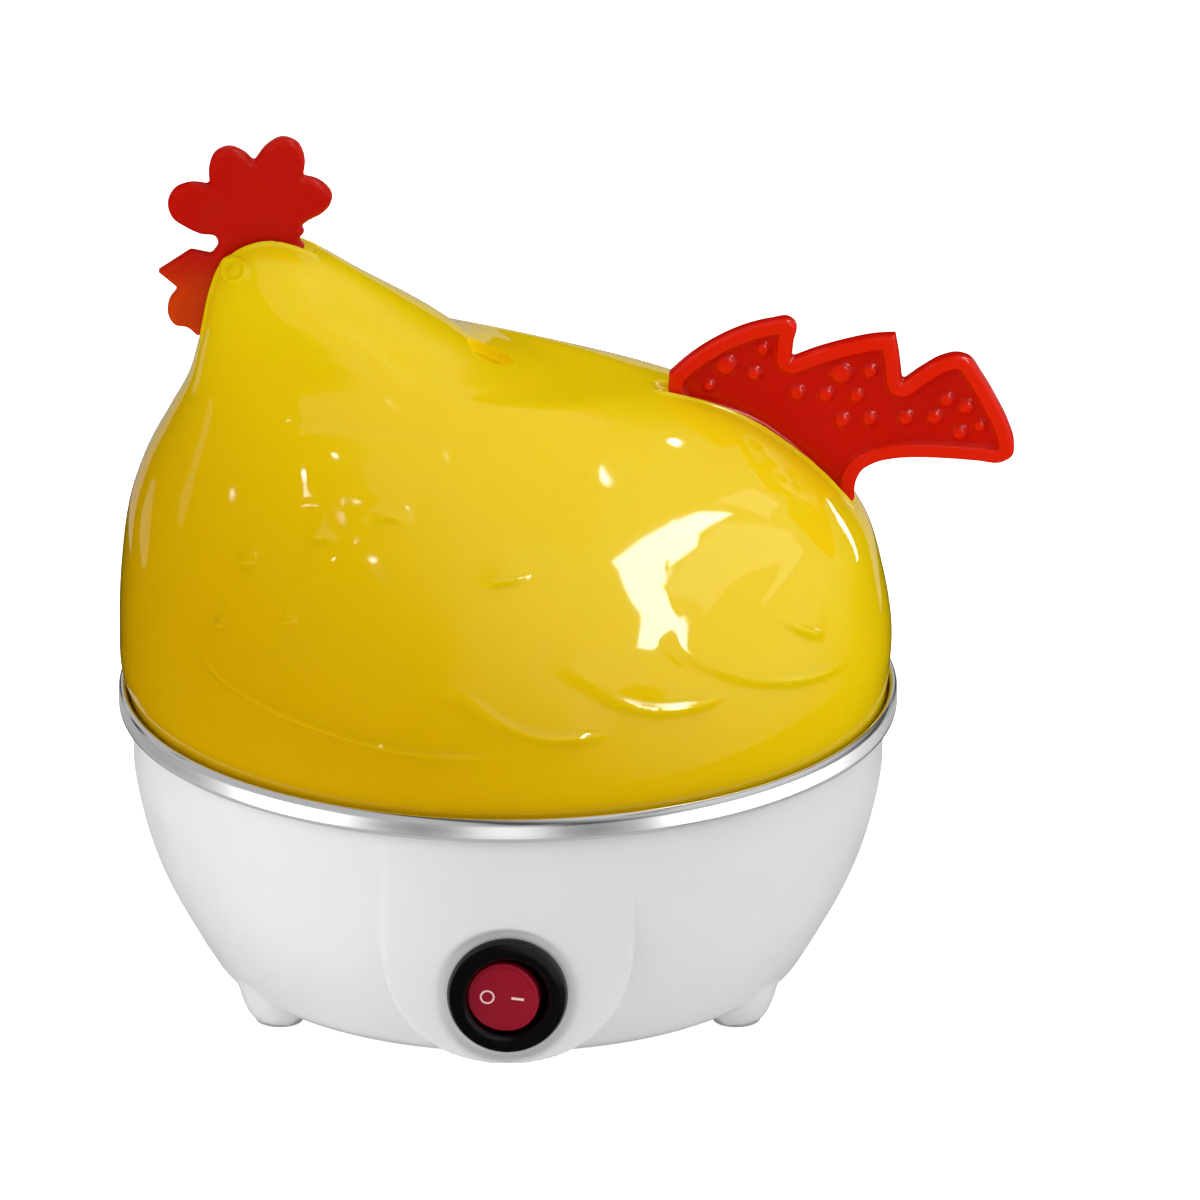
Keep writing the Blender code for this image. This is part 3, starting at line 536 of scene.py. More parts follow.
def metal(name, colour, roughness, brushing=(1, 1, 60), tone=0.06):
    """Sheet metal, brushed along its turning marks."""
    nodes = Nodes(name)
    lines = nodes.noise(55, 6, brushing)
    nodes.tint(nodes.ramp(lines, 0, 1), colour, tuple(c * (1 - tone) for c in colour))
    nodes.gloss(lines, roughness * 0.8, roughness * 1.25)
    nodes.set(Metallic=1.0)
    nodes.bump(lines, 0.004, 0.35)
    return nodes.material


def lamp_glass():
    nodes = Nodes("lamp_glass")
    cloud = nodes.noise(80, 2)
    nodes.tint(nodes.ramp(cloud, 0, 1), (0.96, 0.82, 0.72), (0.94, 0.79, 0.69))
    nodes.gloss(cloud, 0.025, 0.035)
    nodes.set(Transmission_Weight=0.9, IOR=1.5)
    nodes.bump(cloud, 0.01)
    return nodes.material


# The lid's tone is painted light and shade: the yellow grows lighter towards the top and the tail end and
# stays a deeper orange low towards the head.
YELLOW = plastic("lid_yellow", (0.59, 0.345, 0.0003), (0.61, 0.36, 0.0006), 0.05, glow=0.3, ripple=0.012,
                 tone=((0.5, 0, 0.87), (0.79, 0.585, 0.003), 0.03, 0.105))
RED = plastic("comb_red", (0.43, 0.004, 0.0004), (0.48, 0.005, 0.0005), 0.18, glow=0.12, ripple=0.03,
              specular=0.15, tone=((0, 0, -1), (0.54, 0.040, 0.0006), -0.139, -0.129))
# The tail's tone is painted light and shade: the raised border and bumps are a lighter red and the recess
# between them stays darker.
TAIL_RED = plastic("tail_red", (0.52, 0.005, 0.0004), (0.58, 0.006, 0.0006), 0.12, glow=0.15, ripple=0.03,
                   specular=0.28, tone=((0, 1, 0), (0.70, 0.013, 0.0008), 0.0009, 0.0017, True))
WHITE = plastic("housing_white", (0.67, 0.67, 0.668), (0.70, 0.70, 0.70), 0.38, glow=0.1, grain=900,
                specular=0.35)
IVORY = plastic("tray_ivory", (0.80, 0.78, 0.72), (0.84, 0.82, 0.77), 0.42, glow=0.15, grain=700)
BLACK = plastic("switch_black", (0.003, 0.003, 0.0035), (0.005, 0.005, 0.0055), 0.24, grain=1100,
                specular=0.35)
ROCKER_RED = plastic("rocker_red", (0.27, 0.006, 0.020), (0.31, 0.008, 0.024), 0.16, glow=0.1, coat=0.15)
MARK = plastic("rocker_mark", (0.85, 0.55, 0.50), (0.88, 0.60, 0.55), 0.4, grain=900)
RUBBER = plastic("pad_rubber", (0.45, 0.45, 0.44), (0.52, 0.52, 0.51), 0.75, grain=1400)
NYLON = plastic("nylon", (0.70, 0.68, 0.62), (0.75, 0.73, 0.68), 0.5, glow=0.1, grain=900)
SLEEVE = plastic("wire_sleeve", (0.70, 0.69, 0.65), (0.78, 0.77, 0.73), 0.65, grain=1800)
STEEL = metal("steel", (0.72, 0.72, 0.73), 0.20)
DARK_STEEL = metal("element_sheath", (0.22, 0.21, 0.20), 0.42, tone=0.3)
ALUMINIUM = metal("aluminium", (0.80, 0.80, 0.81), 0.36)
ALUMINIUM_RIM = metal("rim_aluminium", (0.88, 0.88, 0.89), 0.19, (0.15, 0.15, 25))
BRASS = metal("brass", (0.75, 0.54, 0.22), 0.28)
LAMP = lamp_glass()


# ---------------------------------- lid

def relief(x, up):
    """How far the moulded wing, tufts and eye stand out of the lid, for places on the tilted plane."""
    flat = np.stack([x.ravel(), up.ravel()], axis=1)
    height = np.zeros(len(flat))

    def near(line, margin):
        low, high = np.min(line, axis=0) - margin, np.max(line, axis=0) + margin
        return np.where(((flat > low) & (flat < high)).all(axis=1))[0]

    def feather(knots, step, fade, soft, sharp, bead, starts=0.1, ends=(0.22, 0.78)):
        """A step up onto the feather: soft and wide where it starts, a fine bead where it ends."""
        line = through(knots, np.linspace(0, 1, 40))
        chosen = near(line, fade * 5)
        d, side, place = distance_to_line(flat[chosen], line)
        above = d * side
        width = soft + (sharp - soft) * smoothstep(0.15, 0.6, place)
        raised = step * smoothstep(-width, width * 0.6, above) * np.exp(-np.maximum(above, 0) / fade)
        crest = np.exp(-((above - 0.1) / (sharp * 0.9)) ** 2)
        raised += bead * smoothstep(starts, starts + 0.35, place) * crest
        height[chosen] += raised * smoothstep(0, ends[0], place) * smoothstep(1, ends[1], place)

    for step, fade, starts, knots in FEATHERS:
        feather(knots, step, fade, 2.0, 0.8, 0.75, starts)
    for knots in TUFTS:
        feather(knots, 0.9, 2.6, 0.5, 0.5, 0.3, ends=(0.45, 0.55))
    line = through(WING_TOP, np.linspace(0, 1, 30))
    chosen = near(line, 8)
    d, side, place = distance_to_line(flat[chosen], line)
    below = -d * side
    height[chosen] += (0.60 * smoothstep(-0.8, 0.8, below) * np.exp(-np.maximum(below, 0) / 6)
                       * smoothstep(0, 0.2, place) * smoothstep(1, 0.8, place))
    d = np.hypot(flat[:, 0] - EYE[0], flat[:, 1] - EYE[1])
    height += 0.8 * np.exp(-((d - EYE[2]) / 0.45) ** 2) + 0.5 * smoothstep(EYE[2], 0.6, d)
    return height.reshape(x.shape)


def lid_points():
    ovals = [np.array(row, float) for row in LID_OVALS]
    crown = np.array([LID_CROWN[0], LID_CROWN[1], LID_CROWN[0], LID_CROWN[1], 0, 0])
    over = [np.array([r[2], r[3], r[0], r[1], -r[4], r[5]]) for r in (ovals[-1], ovals[-2])]
    knots = np.array(ovals + [crown] + over)
    gaps = np.linalg.norm(np.diff(knots, axis=0), axis=1)
    crown_place = gaps[:len(ovals)].sum() / gaps.sum()
    places = np.linspace(0, crown_place, 2000)
    trial = through(knots, places)
    height = (trial[:, 1] + trial[:, 3]) / 2
    density = 1 + 1.4 * (smoothstep(106, 94, height[1:]) + smoothstep(112, 120, height[1:]))
    steps = np.hypot(np.diff(height), np.diff(trial[:, 4])) * density
    counted = np.concatenate([[0], np.cumsum(steps)])
    rows = through(knots, np.interp(np.linspace(0, counted[-1], LID_RINGS + 1)[:-1], counted, places))
    angle = np.arange(LID_SEGMENTS) / LID_SEGMENTS * TURN
    along, across = np.cos(angle)[None, :], np.sin(angle)[None, :]
    front_x, front_z, rear_x, rear_z, half, taper = (rows[:, i][:, None] for i in range(6))
    x = (front_x + rear_x) / 2 + (rear_x - front_x) / 2 * along
    z = (front_z + rear_z) / 2 + (rear_z - front_z) / 2 * along
    y = half * across * (1 - taper * (1 + along) / 2)
    return np.stack([x, y, z], axis=-1)


def grid_normals(points):
    down = np.gradient(points, axis=0)
    around = np.roll(points, -1, axis=1) - np.roll(points, 1, axis=1)
    normals = np.cross(around, down)
    normals /= np.linalg.norm(normals, axis=-1, keepdims=True) + 1e-9
    return normals


def make_lid():
    points = lid_points()
    normals = grid_normals(points)
    x, y, z = points[..., 0], points[..., 1], points[..., 2]
    up = z * math.cos(RELIEF_TILT) - np.abs(y) * math.sin(RELIEF_TILT)
    height = relief(x, up)
    comb_line = (x < -34) * smoothstep(121, 124, z)
    tail_line = (x > 27) * smoothstep(89, 92, z)
    for line, thick in ((comb_line, COMB_THICK), (tail_line, TAIL_THICK)):
        beside = np.abs(y) - thick / 2
        lip = 0.45 * np.exp(-((beside - 0.9) / 0.6) ** 2) - 0.7 * smoothstep(0.9, 0.0, beside)
        height += line * lip
    points = points + normals * height[..., None]
    vertices = np.vstack([points.reshape(-1, 3), [[LID_CROWN[0], 0, LID_CROWN[1]]]]) + AXIS
    faces = grid_faces(LID_RINGS, LID_SEGMENTS)
    last, pole = (LID_RINGS - 1) * LID_SEGMENTS, LID_RINGS * LID_SEGMENTS
    faces += [(last + j, last + (j + 1) % LID_SEGMENTS, pole) for j in range(LID_SEGMENTS)]
    lid = mesh_object("hen_lid", vertices, faces, YELLOW)
    wall = lid.modifiers.new("wall", "SOLIDIFY")
    wall.thickness = LID_WALL * MM
    wall.offset = -1
    baked(lid)
    cut_with(lid, [round_cutter(VENT_R, 105, 126, (VENT_X, 0, 0))])
    return crease_edges(lid, 50)


# ---------------------------------- flat plates

def moulded_plate(name, table, half_thickness, material, voxel):
    """A plate in the middle plane; half_thickness gives its form from x, z and distance to the edge."""
    outline = outline_points(table)
    body = bmesh.new()
    ring = [body.verts.new((x * MM, -BLANK_HALF * MM, z * MM)) for x, z in outline]
    edges = [body.edges.new((a, b)) for a, b in zip(ring, ring[1:] + ring[:1])]
    filled = bmesh.ops.triangle_fill(body, edges=edges, use_beauty=True)
    faces = [item for item in filled["geom"] if isinstance(item, bmesh.types.BMFace)]
    grown = bmesh.ops.extrude_face_region(body, geom=faces)
    moved = [item for item in grown["geom"] if isinstance(item, bmesh.types.BMVert)]
    bmesh.ops.translate(body, vec=(0, 2 * BLANK_HALF * MM, 0), verts=moved)
    bmesh.ops.recalc_face_normals(body, faces=body.faces)
    obj = bmesh_object(name, body)
    remesh = obj.modifiers.new("even_mesh", "REMESH")
    remesh.mode = "VOXEL"
    remesh.voxel_size = voxel * MM
    baked(obj)
    points = read_points(obj)
    flat = points[:, [0, 2]]
    d, _, _ = distance_to_line(flat, outline, closed=True)
    d = np.where(inside_outline(flat, outline), d, 0)
    y = points[:, 1]
    in_edge = np.abs(y) < BLANK_HALF - voxel * 0.75
    side = np.where(in_edge, y / BLANK_HALF, np.sign(y))
    points[:, 1] = side * half_thickness(flat[:, 0], flat[:, 1], d)
    write_points(obj, points)
    relax = obj.modifiers.new("relax", "SMOOTH")
    relax.factor = 0.5
    relax.iterations = 2
    baked(obj)
    write_points(obj, read_points(obj) + AXIS)
    obj.data.materials.clear()
    obj.data.materials.append(material)
    obj.data.shade_smooth()
    return obj


def edge_round(d, radius):
    return np.sqrt(np.clip(1 - (1 - np.clip(d / radius, 0, 1)) ** 2, 0, 1))


def comb_form(x, z, d):
    dip = 0.22 * smoothstep(1.6, 5.0, d)
    return np.maximum(COMB_THICK / 2 * edge_round(d + 0.08, 1.6) - dip, 0.05)


def tail_form(x, z, d):
    half = TAIL_THICK / 2
    form = half * edge_round(d + 0.08, 1.0)
    form -= 1.15 * smoothstep(2.4, 3.2, d)
    for bump_x, bump_z, radius in TAIL_BUMPS:
        reach = np.hypot(x - bump_x, z - bump_z) / (radius + 0.1)
        form += 1.0 * np.sqrt(np.clip(1 - reach**2, 0, 1))
    return np.maximum(form, 0.05)


# ---------------------------------- dish and tray

def make_dish():
    return revolved("heating_dish_polished", rounded(DISH_PROFILE, 0.5, 4), ALUMINIUM_RIM, 256)


def make_tray():
    """The plate with its raised edge, a collar round each seat, three legs and two finger tabs."""
    bottom, top = TRAY_PLATE
    profile = rounded([(0, top), (TRAY_R - 2.4, top), (TRAY_R - 1.6, top + 2.4), (TRAY_R, top + 2.4),
                       (TRAY_R, bottom - 1.0), (TRAY_R - 1.8, bottom - 1.0), (TRAY_R - 2.4, bottom),
                       (0, bottom)], 0.5, 3, closed=False)
    plate = revolved("tray_plate", profile, IVORY, 192)
    places = [on_ring(0, 0)] + [on_ring(SEAT_RING_R, TURN / 12 + i * TURN / 6) for i in range(6)]
    cut_with(plate, [round_cutter(SEAT_R - 0.3, top + 2, bottom - 2, place) for place in places])
    pieces = [plate]
    collar = rounded([(SEAT_R - 1.0, bottom), (SEAT_R + 0.3, COLLAR_TOP - 0.8), (SEAT_R + 0.5, COLLAR_TOP),
                      (COLLAR_R - 1.0, COLLAR_TOP), (COLLAR_R, bottom + 0.4)], 0.4, 3)
    for place in places:
        pieces.append(revolved("collar", collar, IVORY, 64, place))
    leg = rounded([(0, bottom + 0.6), (TRAY_LEG_R, bottom + 0.6), (TRAY_LEG_R - 0.6, DISH_FLOOR + GAP),
                   (0, DISH_FLOOR + GAP)], 0.5, 3, closed=False)
    for angle in (TURN / 6, TURN / 2, 5 * TURN / 6):
        pieces.append(revolved("leg", leg, IVORY, 32, on_ring(TRAY_LEG_RING_R, angle)))
    for side in (-1, 1):
        pieces.append(tray_tab(side, top))
    return crease_edges(joined("egg_tray_moulded", pieces), 40)


def tray_tab(side, top):
    """A finger tab: a rounded plate that leans outwards a little."""
    body = bmesh.new()
    bmesh.ops.create_cube(body, size=1)
    lean = Matrix.Rotation(side * TAB_LEAN, 4, "Y")
    place = Matrix.Translation((side * TAB_X, 0, top + 6.2)) @ lean @ Matrix.Diagonal((*TAB_SIZE, 1))
    bmesh.ops.transform(body, matrix=Matrix.Scale(MM, 4) @ place, verts=body.verts)
    through_plate = [e for e in body.edges if abs((e.verts[0].co - e.verts[1].co).x) > 1.5 * MM]
    upper = [e for e in through_plate if e.verts[0].co.z > top * MM]
    bmesh.ops.bevel(body, geom=upper, offset=4 * MM, segments=8, affect="EDGES", profile=0.5)
    obj = bmesh_object("tab", body, IVORY)
    obj.data.transform(Matrix.Translation(Vector(AXIS * MM)))
    soften = obj.modifiers.new("edges", "BEVEL")
    soften.width = 0.4 * MM
    soften.segments = 3
    return baked(obj)


# ---------------------------------- housing

def make_housing():
    """The bowl: a turned shell whose outside is drawn out into the bosses and the feet."""
    outer = through(HOUSING_PROFILE, np.linspace(0, 1, 125))
    under = rounded([HOUSING_PROFILE[-1], *HOUSING_UNDER], 0.5, 3, closed=False)[1:]
    inner = [(r - HOUSING_WALL, z) for r, z in reversed(HOUSING_PROFILE[:-2])]
    profile = np.vstack([outer, under, [(50.2, 9.6)], inner])
    points = revolved_points(profile, 640)
    outside = len(outer) + 10
    shaped = points[:outside].copy()
    x, y, z = shaped[..., 0].copy(), shaped[..., 1].copy(), shaped[..., 2].copy()
    radius = np.hypot(x, y)

    middle = BOSS_BOTTOM + BOSS_HALF_WIDTH
    inset = BOSS_HALF_WIDTH - np.where(z < middle, np.hypot(x, z - middle), np.abs(x))
    on_boss = smoothstep(-BOSS_BLEND, BOSS_BLEND, inset) * (y < 0)
    soft = np.log(np.exp((BOSS_FACE_R - radius) / BOSS_BLEND) + 1) * BOSS_BLEND
    grown = radius + soft * on_boss * smoothstep(52, 44, z)
    shaped[..., 0] *= grown / radius
    shaped[..., 1] *= grown / radius
    off = np.hypot(shaped[..., 0], z - SWITCH_Z)
    flat = smoothstep(BEZEL_R + 2.4, BEZEL_R + 0.8, off) * (shaped[..., 1] < -50)
    shaped[..., 1] += (SWITCH_FACE_Y - shaped[..., 1]) * flat

    off = np.hypot(shaped[..., 0], z - GLAND_Z)
    round_boss = smoothstep(GLAND_BOSS_R + 0.8, GLAND_BOSS_R - 0.8, off) * (shaped[..., 1] > 50)
    shaped[..., 1] += np.maximum(GLAND_BOSS_Y - shaped[..., 1], 0) * round_boss

    for degrees in FOOT_ANGLES.values():
        angle = math.radians(degrees)
        outward = x * math.cos(angle) + y * math.sin(angle) - FOOT_RING_R
        sideways = y * math.cos(angle) - x * math.sin(angle)
        off = np.hypot(outward, sideways * 0.85)
        slope = np.clip((off - PAD_R - 0.2) / (FOOT_R + 0.5 - PAD_R - 0.2), 0, 1)
        pulled = (1 - slope**1.4) * (z < 16)
        shaped[..., 2] += (FOOT_BOTTOM - shaped[..., 2]) * pulled
    points[:outside] = shaped
    faces = grid_faces(len(profile), 640, wrap_rows=True)
    housing = face_outward(mesh_object("bowl_housing", points.reshape(-1, 3) + AXIS, faces, WHITE))
    toward_front = Matrix.Rotation(TURN / 4, 4, "X")
    cut_with(housing, [
        round_cutter(BARREL_R + GAP, -14, 14, (0, SWITCH_FACE_Y, SWITCH_Z), toward_front),
        round_cutter(4.9, -14, 14, (0, GLAND_BOSS_Y, GLAND_Z), toward_front, 48),
    ])
    return crease_edges(housing, 50)


def make_pads():
    profile = rounded([(0, PAD_TOP), (PAD_R, PAD_TOP), (PAD_R, 0), (2.6, 0), (2.4, 0.25), (0, 0.25)],
                      0.4, 3, closed=False)
    for side, degrees in FOOT_ANGLES.items():
        pad = revolved(f"pad_{side}", profile, RUBBER, 48, on_ring(FOOT_RING_R, math.radians(degrees)))
        attach(pad, "base", "pad_rubber", f"foot_pad_{side}")


# ---------------------------------- switch

def switch_matrix(tilt=0.0, sink=0.0):
    """From the switch's own axes, +Z out of the boss, to the axes about the bowl."""
    return (Matrix.Translation((0, SWITCH_FACE_Y - GAP, SWITCH_Z)) @ Matrix.Rotation(TURN / 4, 4, "X")
            @ Matrix.Translation((0, 0, -sink)) @ Matrix.Rotation(tilt, 4, "Y"))


def placed(obj, matrix):
    """Moves a mesh made in the switch's own axes into its place."""
    obj.data.transform(Matrix.Translation(Vector(-AXIS * MM)))
    metres = matrix.copy()
    metres.translation = matrix.translation * MM
    obj.data.transform(Matrix.Translation(Vector(AXIS * MM)) @ metres)
    obj.data.update()
    return obj


def make_switch():
    bezel = rounded(
        [(POCKET_R, -POCKET_DEPTH), (POCKET_R, BEZEL_THICK - 0.9), (POCKET_R + 0.7, BEZEL_THICK - 0.05),
         (BEZEL_R - 1.8, BEZEL_THICK), (BEZEL_R - 0.5, BEZEL_THICK - 0.7), (BEZEL_R, BEZEL_THICK - 1.9),
         (BEZEL_R, 0), (BARREL_R, 0), (BARREL_R, -BARREL_DEPTH), (0.02, -BARREL_DEPTH),
         (0.02, -POCKET_DEPTH)], 0.45, 4)
    housing = placed(revolved("switch_bezel", bezel, BLACK, 128), switch_matrix())
    attach(housing, "base", "switch_black", "switch_housing")

    top = PIVOT_DEPTH + ROCKER_SIDE_UP + 1.0
    shoulder = [(ROCKER_R * 0.9, top), (ROCKER_R, top), (ROCKER_R, -1.6)]
    profile = [(0, top), *((ROCKER_R * t, top) for t in np.linspace(0.04, 0.9, 14)),
               *rounded(shoulder, 0.5, 6, closed=False), (ROCKER_R - 0.6, -1.6), (0.02, -1.6), (0, -1.6)]
    rocker = revolved("rocker_button", profile, ROCKER_RED, 128)
    points = read_points(rocker) - AXIS
    dip = ROCKER_VALLEY * (1 - np.sqrt((points[:, 0] / ROCKER_R) ** 2 + 0.02))
    points[:, 2] -= np.where(points[:, 2] > 0, dip, 0)
    write_points(rocker, points + AXIS)
    pivot = switch_matrix(-ROCKER_TILT, PIVOT_DEPTH)

    def face_height(x):
        return top - ROCKER_VALLEY * (1 - math.sqrt((x / ROCKER_R) ** 2 + 0.02))

    off_mark = ring_mark(-2.9, face_height)
    on_mark = bar_mark(2.6, face_height)
    attach(placed(rocker, pivot), "rocker", "rocker_red", "switch_rocker")
    attach(placed(off_mark, pivot), "rocker", "nylon")
    attach(placed(on_mark, pivot), "rocker", "nylon")


def ring_mark(x0, face_height):
    """The off sign: a printed ring."""
    radius, tube = 1.15, 0.17
    vertices = []
    for i in range(48):
        a = i / 48 * TURN
        for j in range(8):
            b = j / 8 * TURN
            x = x0 + (radius + tube * math.cos(b)) * math.cos(a)
            y = (radius + tube * math.cos(b)) * math.sin(a)
            vertices.append((x, y, face_height(x) + 0.06 * math.sin(b) + 0.02))
    faces = grid_faces(48, 8, wrap_rows=True)
    return face_outward(mesh_object("off_sign", np.array(vertices) + AXIS, faces, MARK))


def bar_mark(x0, face_height):
    """The on sign: a printed bar."""
    rows = []
    for x in np.linspace(x0 - 1.15, x0 + 1.15, 12):
        z = face_height(x)
        for y, up in ((-0.22, -0.04), (0.22, -0.04), (0.22, 0.07), (-0.22, 0.07)):
            rows.append((x, y, z + up))
    faces = grid_faces(12, 4) + [(3, 2, 1, 0), (44, 45, 46, 47)]
    return crease_edges(face_outward(mesh_object("on_sign", np.array(rows) + AXIS, faces, MARK)))


# ---------------------------------- gland, attaching and grouping pieces

def make_gland():
    profile = [(3.3, 3.6), (5.2, 3.6), (6.6, 1.6), (6.6, 0), (4.6, 0), (4.6, -11), (3.3, -11)]
    toward_back = Matrix.Rotation(-TURN / 4, 4, "X")
    gland = revolved("gland_bushing", rounded(profile, 0.4, 4), BLACK, 64,
                     (0, GLAND_BOSS_Y + GAP, GLAND_Z), toward_back)
    attach(gland, "base", "switch_black", "cord_gland")


def attach(obj, body, slot, *nodes):
    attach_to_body(obj, body)
    if nodes:
        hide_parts(*nodes)
    return obj


def piece_group(name, *pieces):
    """A group that a card's light can be limited to."""
    group = bpy.data.collections.new(name)
    for piece in pieces:
        group.objects.link(piece)
    return group


# ---------------------------------- stage

# Cards are outlined by directions from the hen's middle: azimuth and elevation in degrees.
MIDDLE = Vector((0, 0, 0.08))
CARD_DISTANCE = 3.0
FLOOR_SIZE = 24
FLAG = ((-58, -48), (38, 30))
FLAG_HEIGHT = 165.0
FLAG_GLOW = 0.45
WINDOW = (
    (80, 68), (98, 64), (113, 55), (115, 48), (105, 55), (100, 55), (84, 60), (76, 55), (66, 45), (58, 46),
    (56, 36), (50, 42), (64, 56), (74, 64),
)
SKY = (
    ((110, 51), (119, 31), (112, 35), (96, 49), (78, 49), (86, 58)),
    ((118, 52), (126, 42), (125, 34), (118, 38)),
)
DOOR = ((142, 12), (138, 12), (134, -2), (135.5, -2))
BACK_WALL = ((150, -45), (210, -45), (210, 5), (150, 5))
LAMPS = (  # azimuth, elevation, half length and half width in degrees, lean
    (-63, 56, 1.3, 0.45, -130),
    (-92, 36, 1.4, 0.3, -130),
    (-57, 66, 0.8, 0.15, -120),
    (-42, 64, 1.1, 0.45, -100),
    (37, 78, 0.6, 0.6, 30),
    (82, 78, 0.5, 0.15, 135),
    (124, 66, 0.9, 0.5, -25),
    (137, 52, 2.0, 0.75, 150),
)
FLOOR_LIT = 0.3
FLOOR_SEEN = 0.8
WORLD_LIT = 0.42
ROOM_DIRECTION = (0.75, -0.2, 0.6)
ROOM_DARK = 0.012
ROOM_BRIGHT = 0.7
ROOM_FADE = (0.34, 0.92)
METAL_ROOM_GLOW = 0.5
VIEW_ELEVATION = math.radians(21)
VIEW_DISTANCE = 8000.0
VIEW_SPAN = 1200 / 5.58
VIEW_TARGET = (16.5, 0.0, 71.4)


def make_camera():
    data = bpy.data.cameras.new("camera")
    data.sensor_width = 36
    data.lens = 36 * VIEW_DISTANCE / VIEW_SPAN
    data.clip_start = 0.05
    data.clip_end = 20
    camera = linked("camera", data)
    target = np.array(VIEW_TARGET) + AXIS
    away = np.array([0, -math.cos(VIEW_ELEVATION), math.sin(VIEW_ELEVATION)])
    camera.location = Vector((target + away * VIEW_DISTANCE) * MM)
    camera.rotation_euler = (TURN / 4 - VIEW_ELEVATION, 0, 0)
    bpy.context.scene.camera = camera


def toward(azimuth, elevation, distance):
    """A place seen from the hen's middle: azimuth 0 is over the camera, 90 over the tail."""
    a, e = math.radians(azimuth), math.radians(elevation)
    return Vector((math.sin(a) * math.cos(e), -math.cos(a) * math.cos(e), math.sin(e))) * distance + MIDDLE


def light(name, kind, place, power, pieces=None):
    """A lamp that shows in no reflection, and lights only some pieces if they are given."""
    data = bpy.data.lights.new(name, kind)
    data.energy = power
    obj = linked(name, data)
    obj.location = place
    obj.visible_glossy = False
    if pieces:
        obj.light_linking.receiver_collection = pieces
    return obj


def area_light(name, azimuth, elevation, distance, size, power, pieces=None):
    obj = light(name, "AREA", toward(azimuth, elevation, distance), power, pieces)
    obj.data.shape = "RECTANGLE"
    obj.data.size, obj.data.size_y = size
    obj.rotation_euler = (obj.location - MIDDLE).to_track_quat("Z", "Y").to_euler()


def sheet(name, points, faces, material):
    """A part of the stage, its points in metres."""
    mesh = bpy.data.meshes.new(name)
    mesh.from_pydata(points, [], faces)
    mesh.materials.append(material)
    obj = linked(name, mesh)
    return obj


def only_mirrored(obj, pieces):
    """Shows only in the reflections of these pieces."""
    obj.light_linking.receiver_collection = pieces
    obj.visible_camera = False
    obj.visible_diffuse = False
    obj.visible_shadow = False
    obj.visible_transmission = False


def card(name, corners, strength, pieces, colour=(1, 1, 1)):
    """A lit card for reflections; its corners are directions, azimuth and elevation."""
    points = [toward(azimuth, elevation, CARD_DISTANCE) for azimuth, elevation in corners]
    face = tuple(range(len(corners)))
    only_mirrored(sheet(name, points, [face], glowing(name, strength, colour)), pieces)


def glowing(name, strength, colour=(1, 1, 1)):
    """A material that only gives light."""
    material, tree = node_material(name)
    tree.nodes.clear()
    emission = add_node(tree, "Emission", Color=(*colour, 1), Strength=strength)
    tree.links.new(emission.outputs[0], add_node(tree, "OutputMaterial").inputs["Surface"])
    return material


def spot_corners(azimuth, elevation, across, up, lean=0.0):
    """The corners of an oval patch, its half sizes and lean in degrees."""
    turned = math.radians(lean)
    corners = []
    for i in range(12):
        a, b = across * math.cos(i / 12 * TURN), up * math.sin(i / 12 * TURN)
        side = a * math.cos(turned) - b * math.sin(turned)
        rise = a * math.sin(turned) + b * math.cos(turned)
        corners.append((azimuth + side / math.cos(math.radians(elevation)), elevation + rise))
    return corners


def make_floor():
    material, tree = node_material("floor")
    shader = tree.nodes["Principled BSDF"]
    for name, value in (("Base Color", (0.9, 0.9, 0.9, 1)), ("Roughness", 0.9), ("Specular IOR Level", 0.0),
                        ("Emission Color", (1, 1, 1, 1))):
        shader.inputs[name].default_value = value
    brightness = add_node(tree, "MapRange", To_Min=FLOOR_LIT, To_Max=FLOOR_SEEN)
    tree.links.new(add_node(tree, "LightPath").outputs["Is Camera Ray"], brightness.inputs["Value"])
    tree.links.new(brightness.outputs["Result"], shader.inputs["Emission Strength"])
    half = FLOOR_SIZE / 2
    corners = [(-half, -half, 0), (half, -half, 0), (half, half, 0), (-half, half, 0)]
    sheet("floor", corners, [(0, 1, 2, 3)], material).visible_glossy = False


def make_world():
    """White behind the object, with even light; reflections see a room that is bright at the right."""
    world = bpy.data.worlds.new("studio")
    bpy.context.scene.world = world
    world.use_nodes = True
    tree = world.node_tree
    tree.nodes.clear()
    link = tree.links.new
    path = add_node(tree, "LightPath")
    along = tree.nodes.new("ShaderNodeVectorMath")
    along.operation = "DOT_PRODUCT"
    along.inputs[1].default_value = Vector(ROOM_DIRECTION).normalized()
    link(add_node(tree, "TexCoord").outputs["Generated"], along.inputs[0])
    fade = add_node(tree, "MapRange", From_Min=ROOM_FADE[0], From_Max=ROOM_FADE[1],
                    To_Min=ROOM_DARK, To_Max=ROOM_BRIGHT)
    fade.interpolation_type = "SMOOTHSTEP"
    link(along.outputs["Value"], fade.inputs["Value"])
    lit, mirrored, seen = (add_node(tree, "Background", Color=(1, 1, 1, 1), Strength=strength)
                           for strength in (WORLD_LIT, 1.0, 1.0))
    link(fade.outputs["Result"], mirrored.inputs["Strength"])
    output = lit.outputs[0]
    for ray, ground in (("Is Glossy Ray", mirrored), ("Is Camera Ray", seen)):
        mix = add_node(tree, "MixShader")
        link(path.outputs[ray], mix.inputs[0])
        link(output, mix.inputs[1])
        link(ground.outputs[0], mix.inputs[2])
        output = mix.outputs[0]
    link(output, add_node(tree, "OutputWorld").inputs["Surface"])


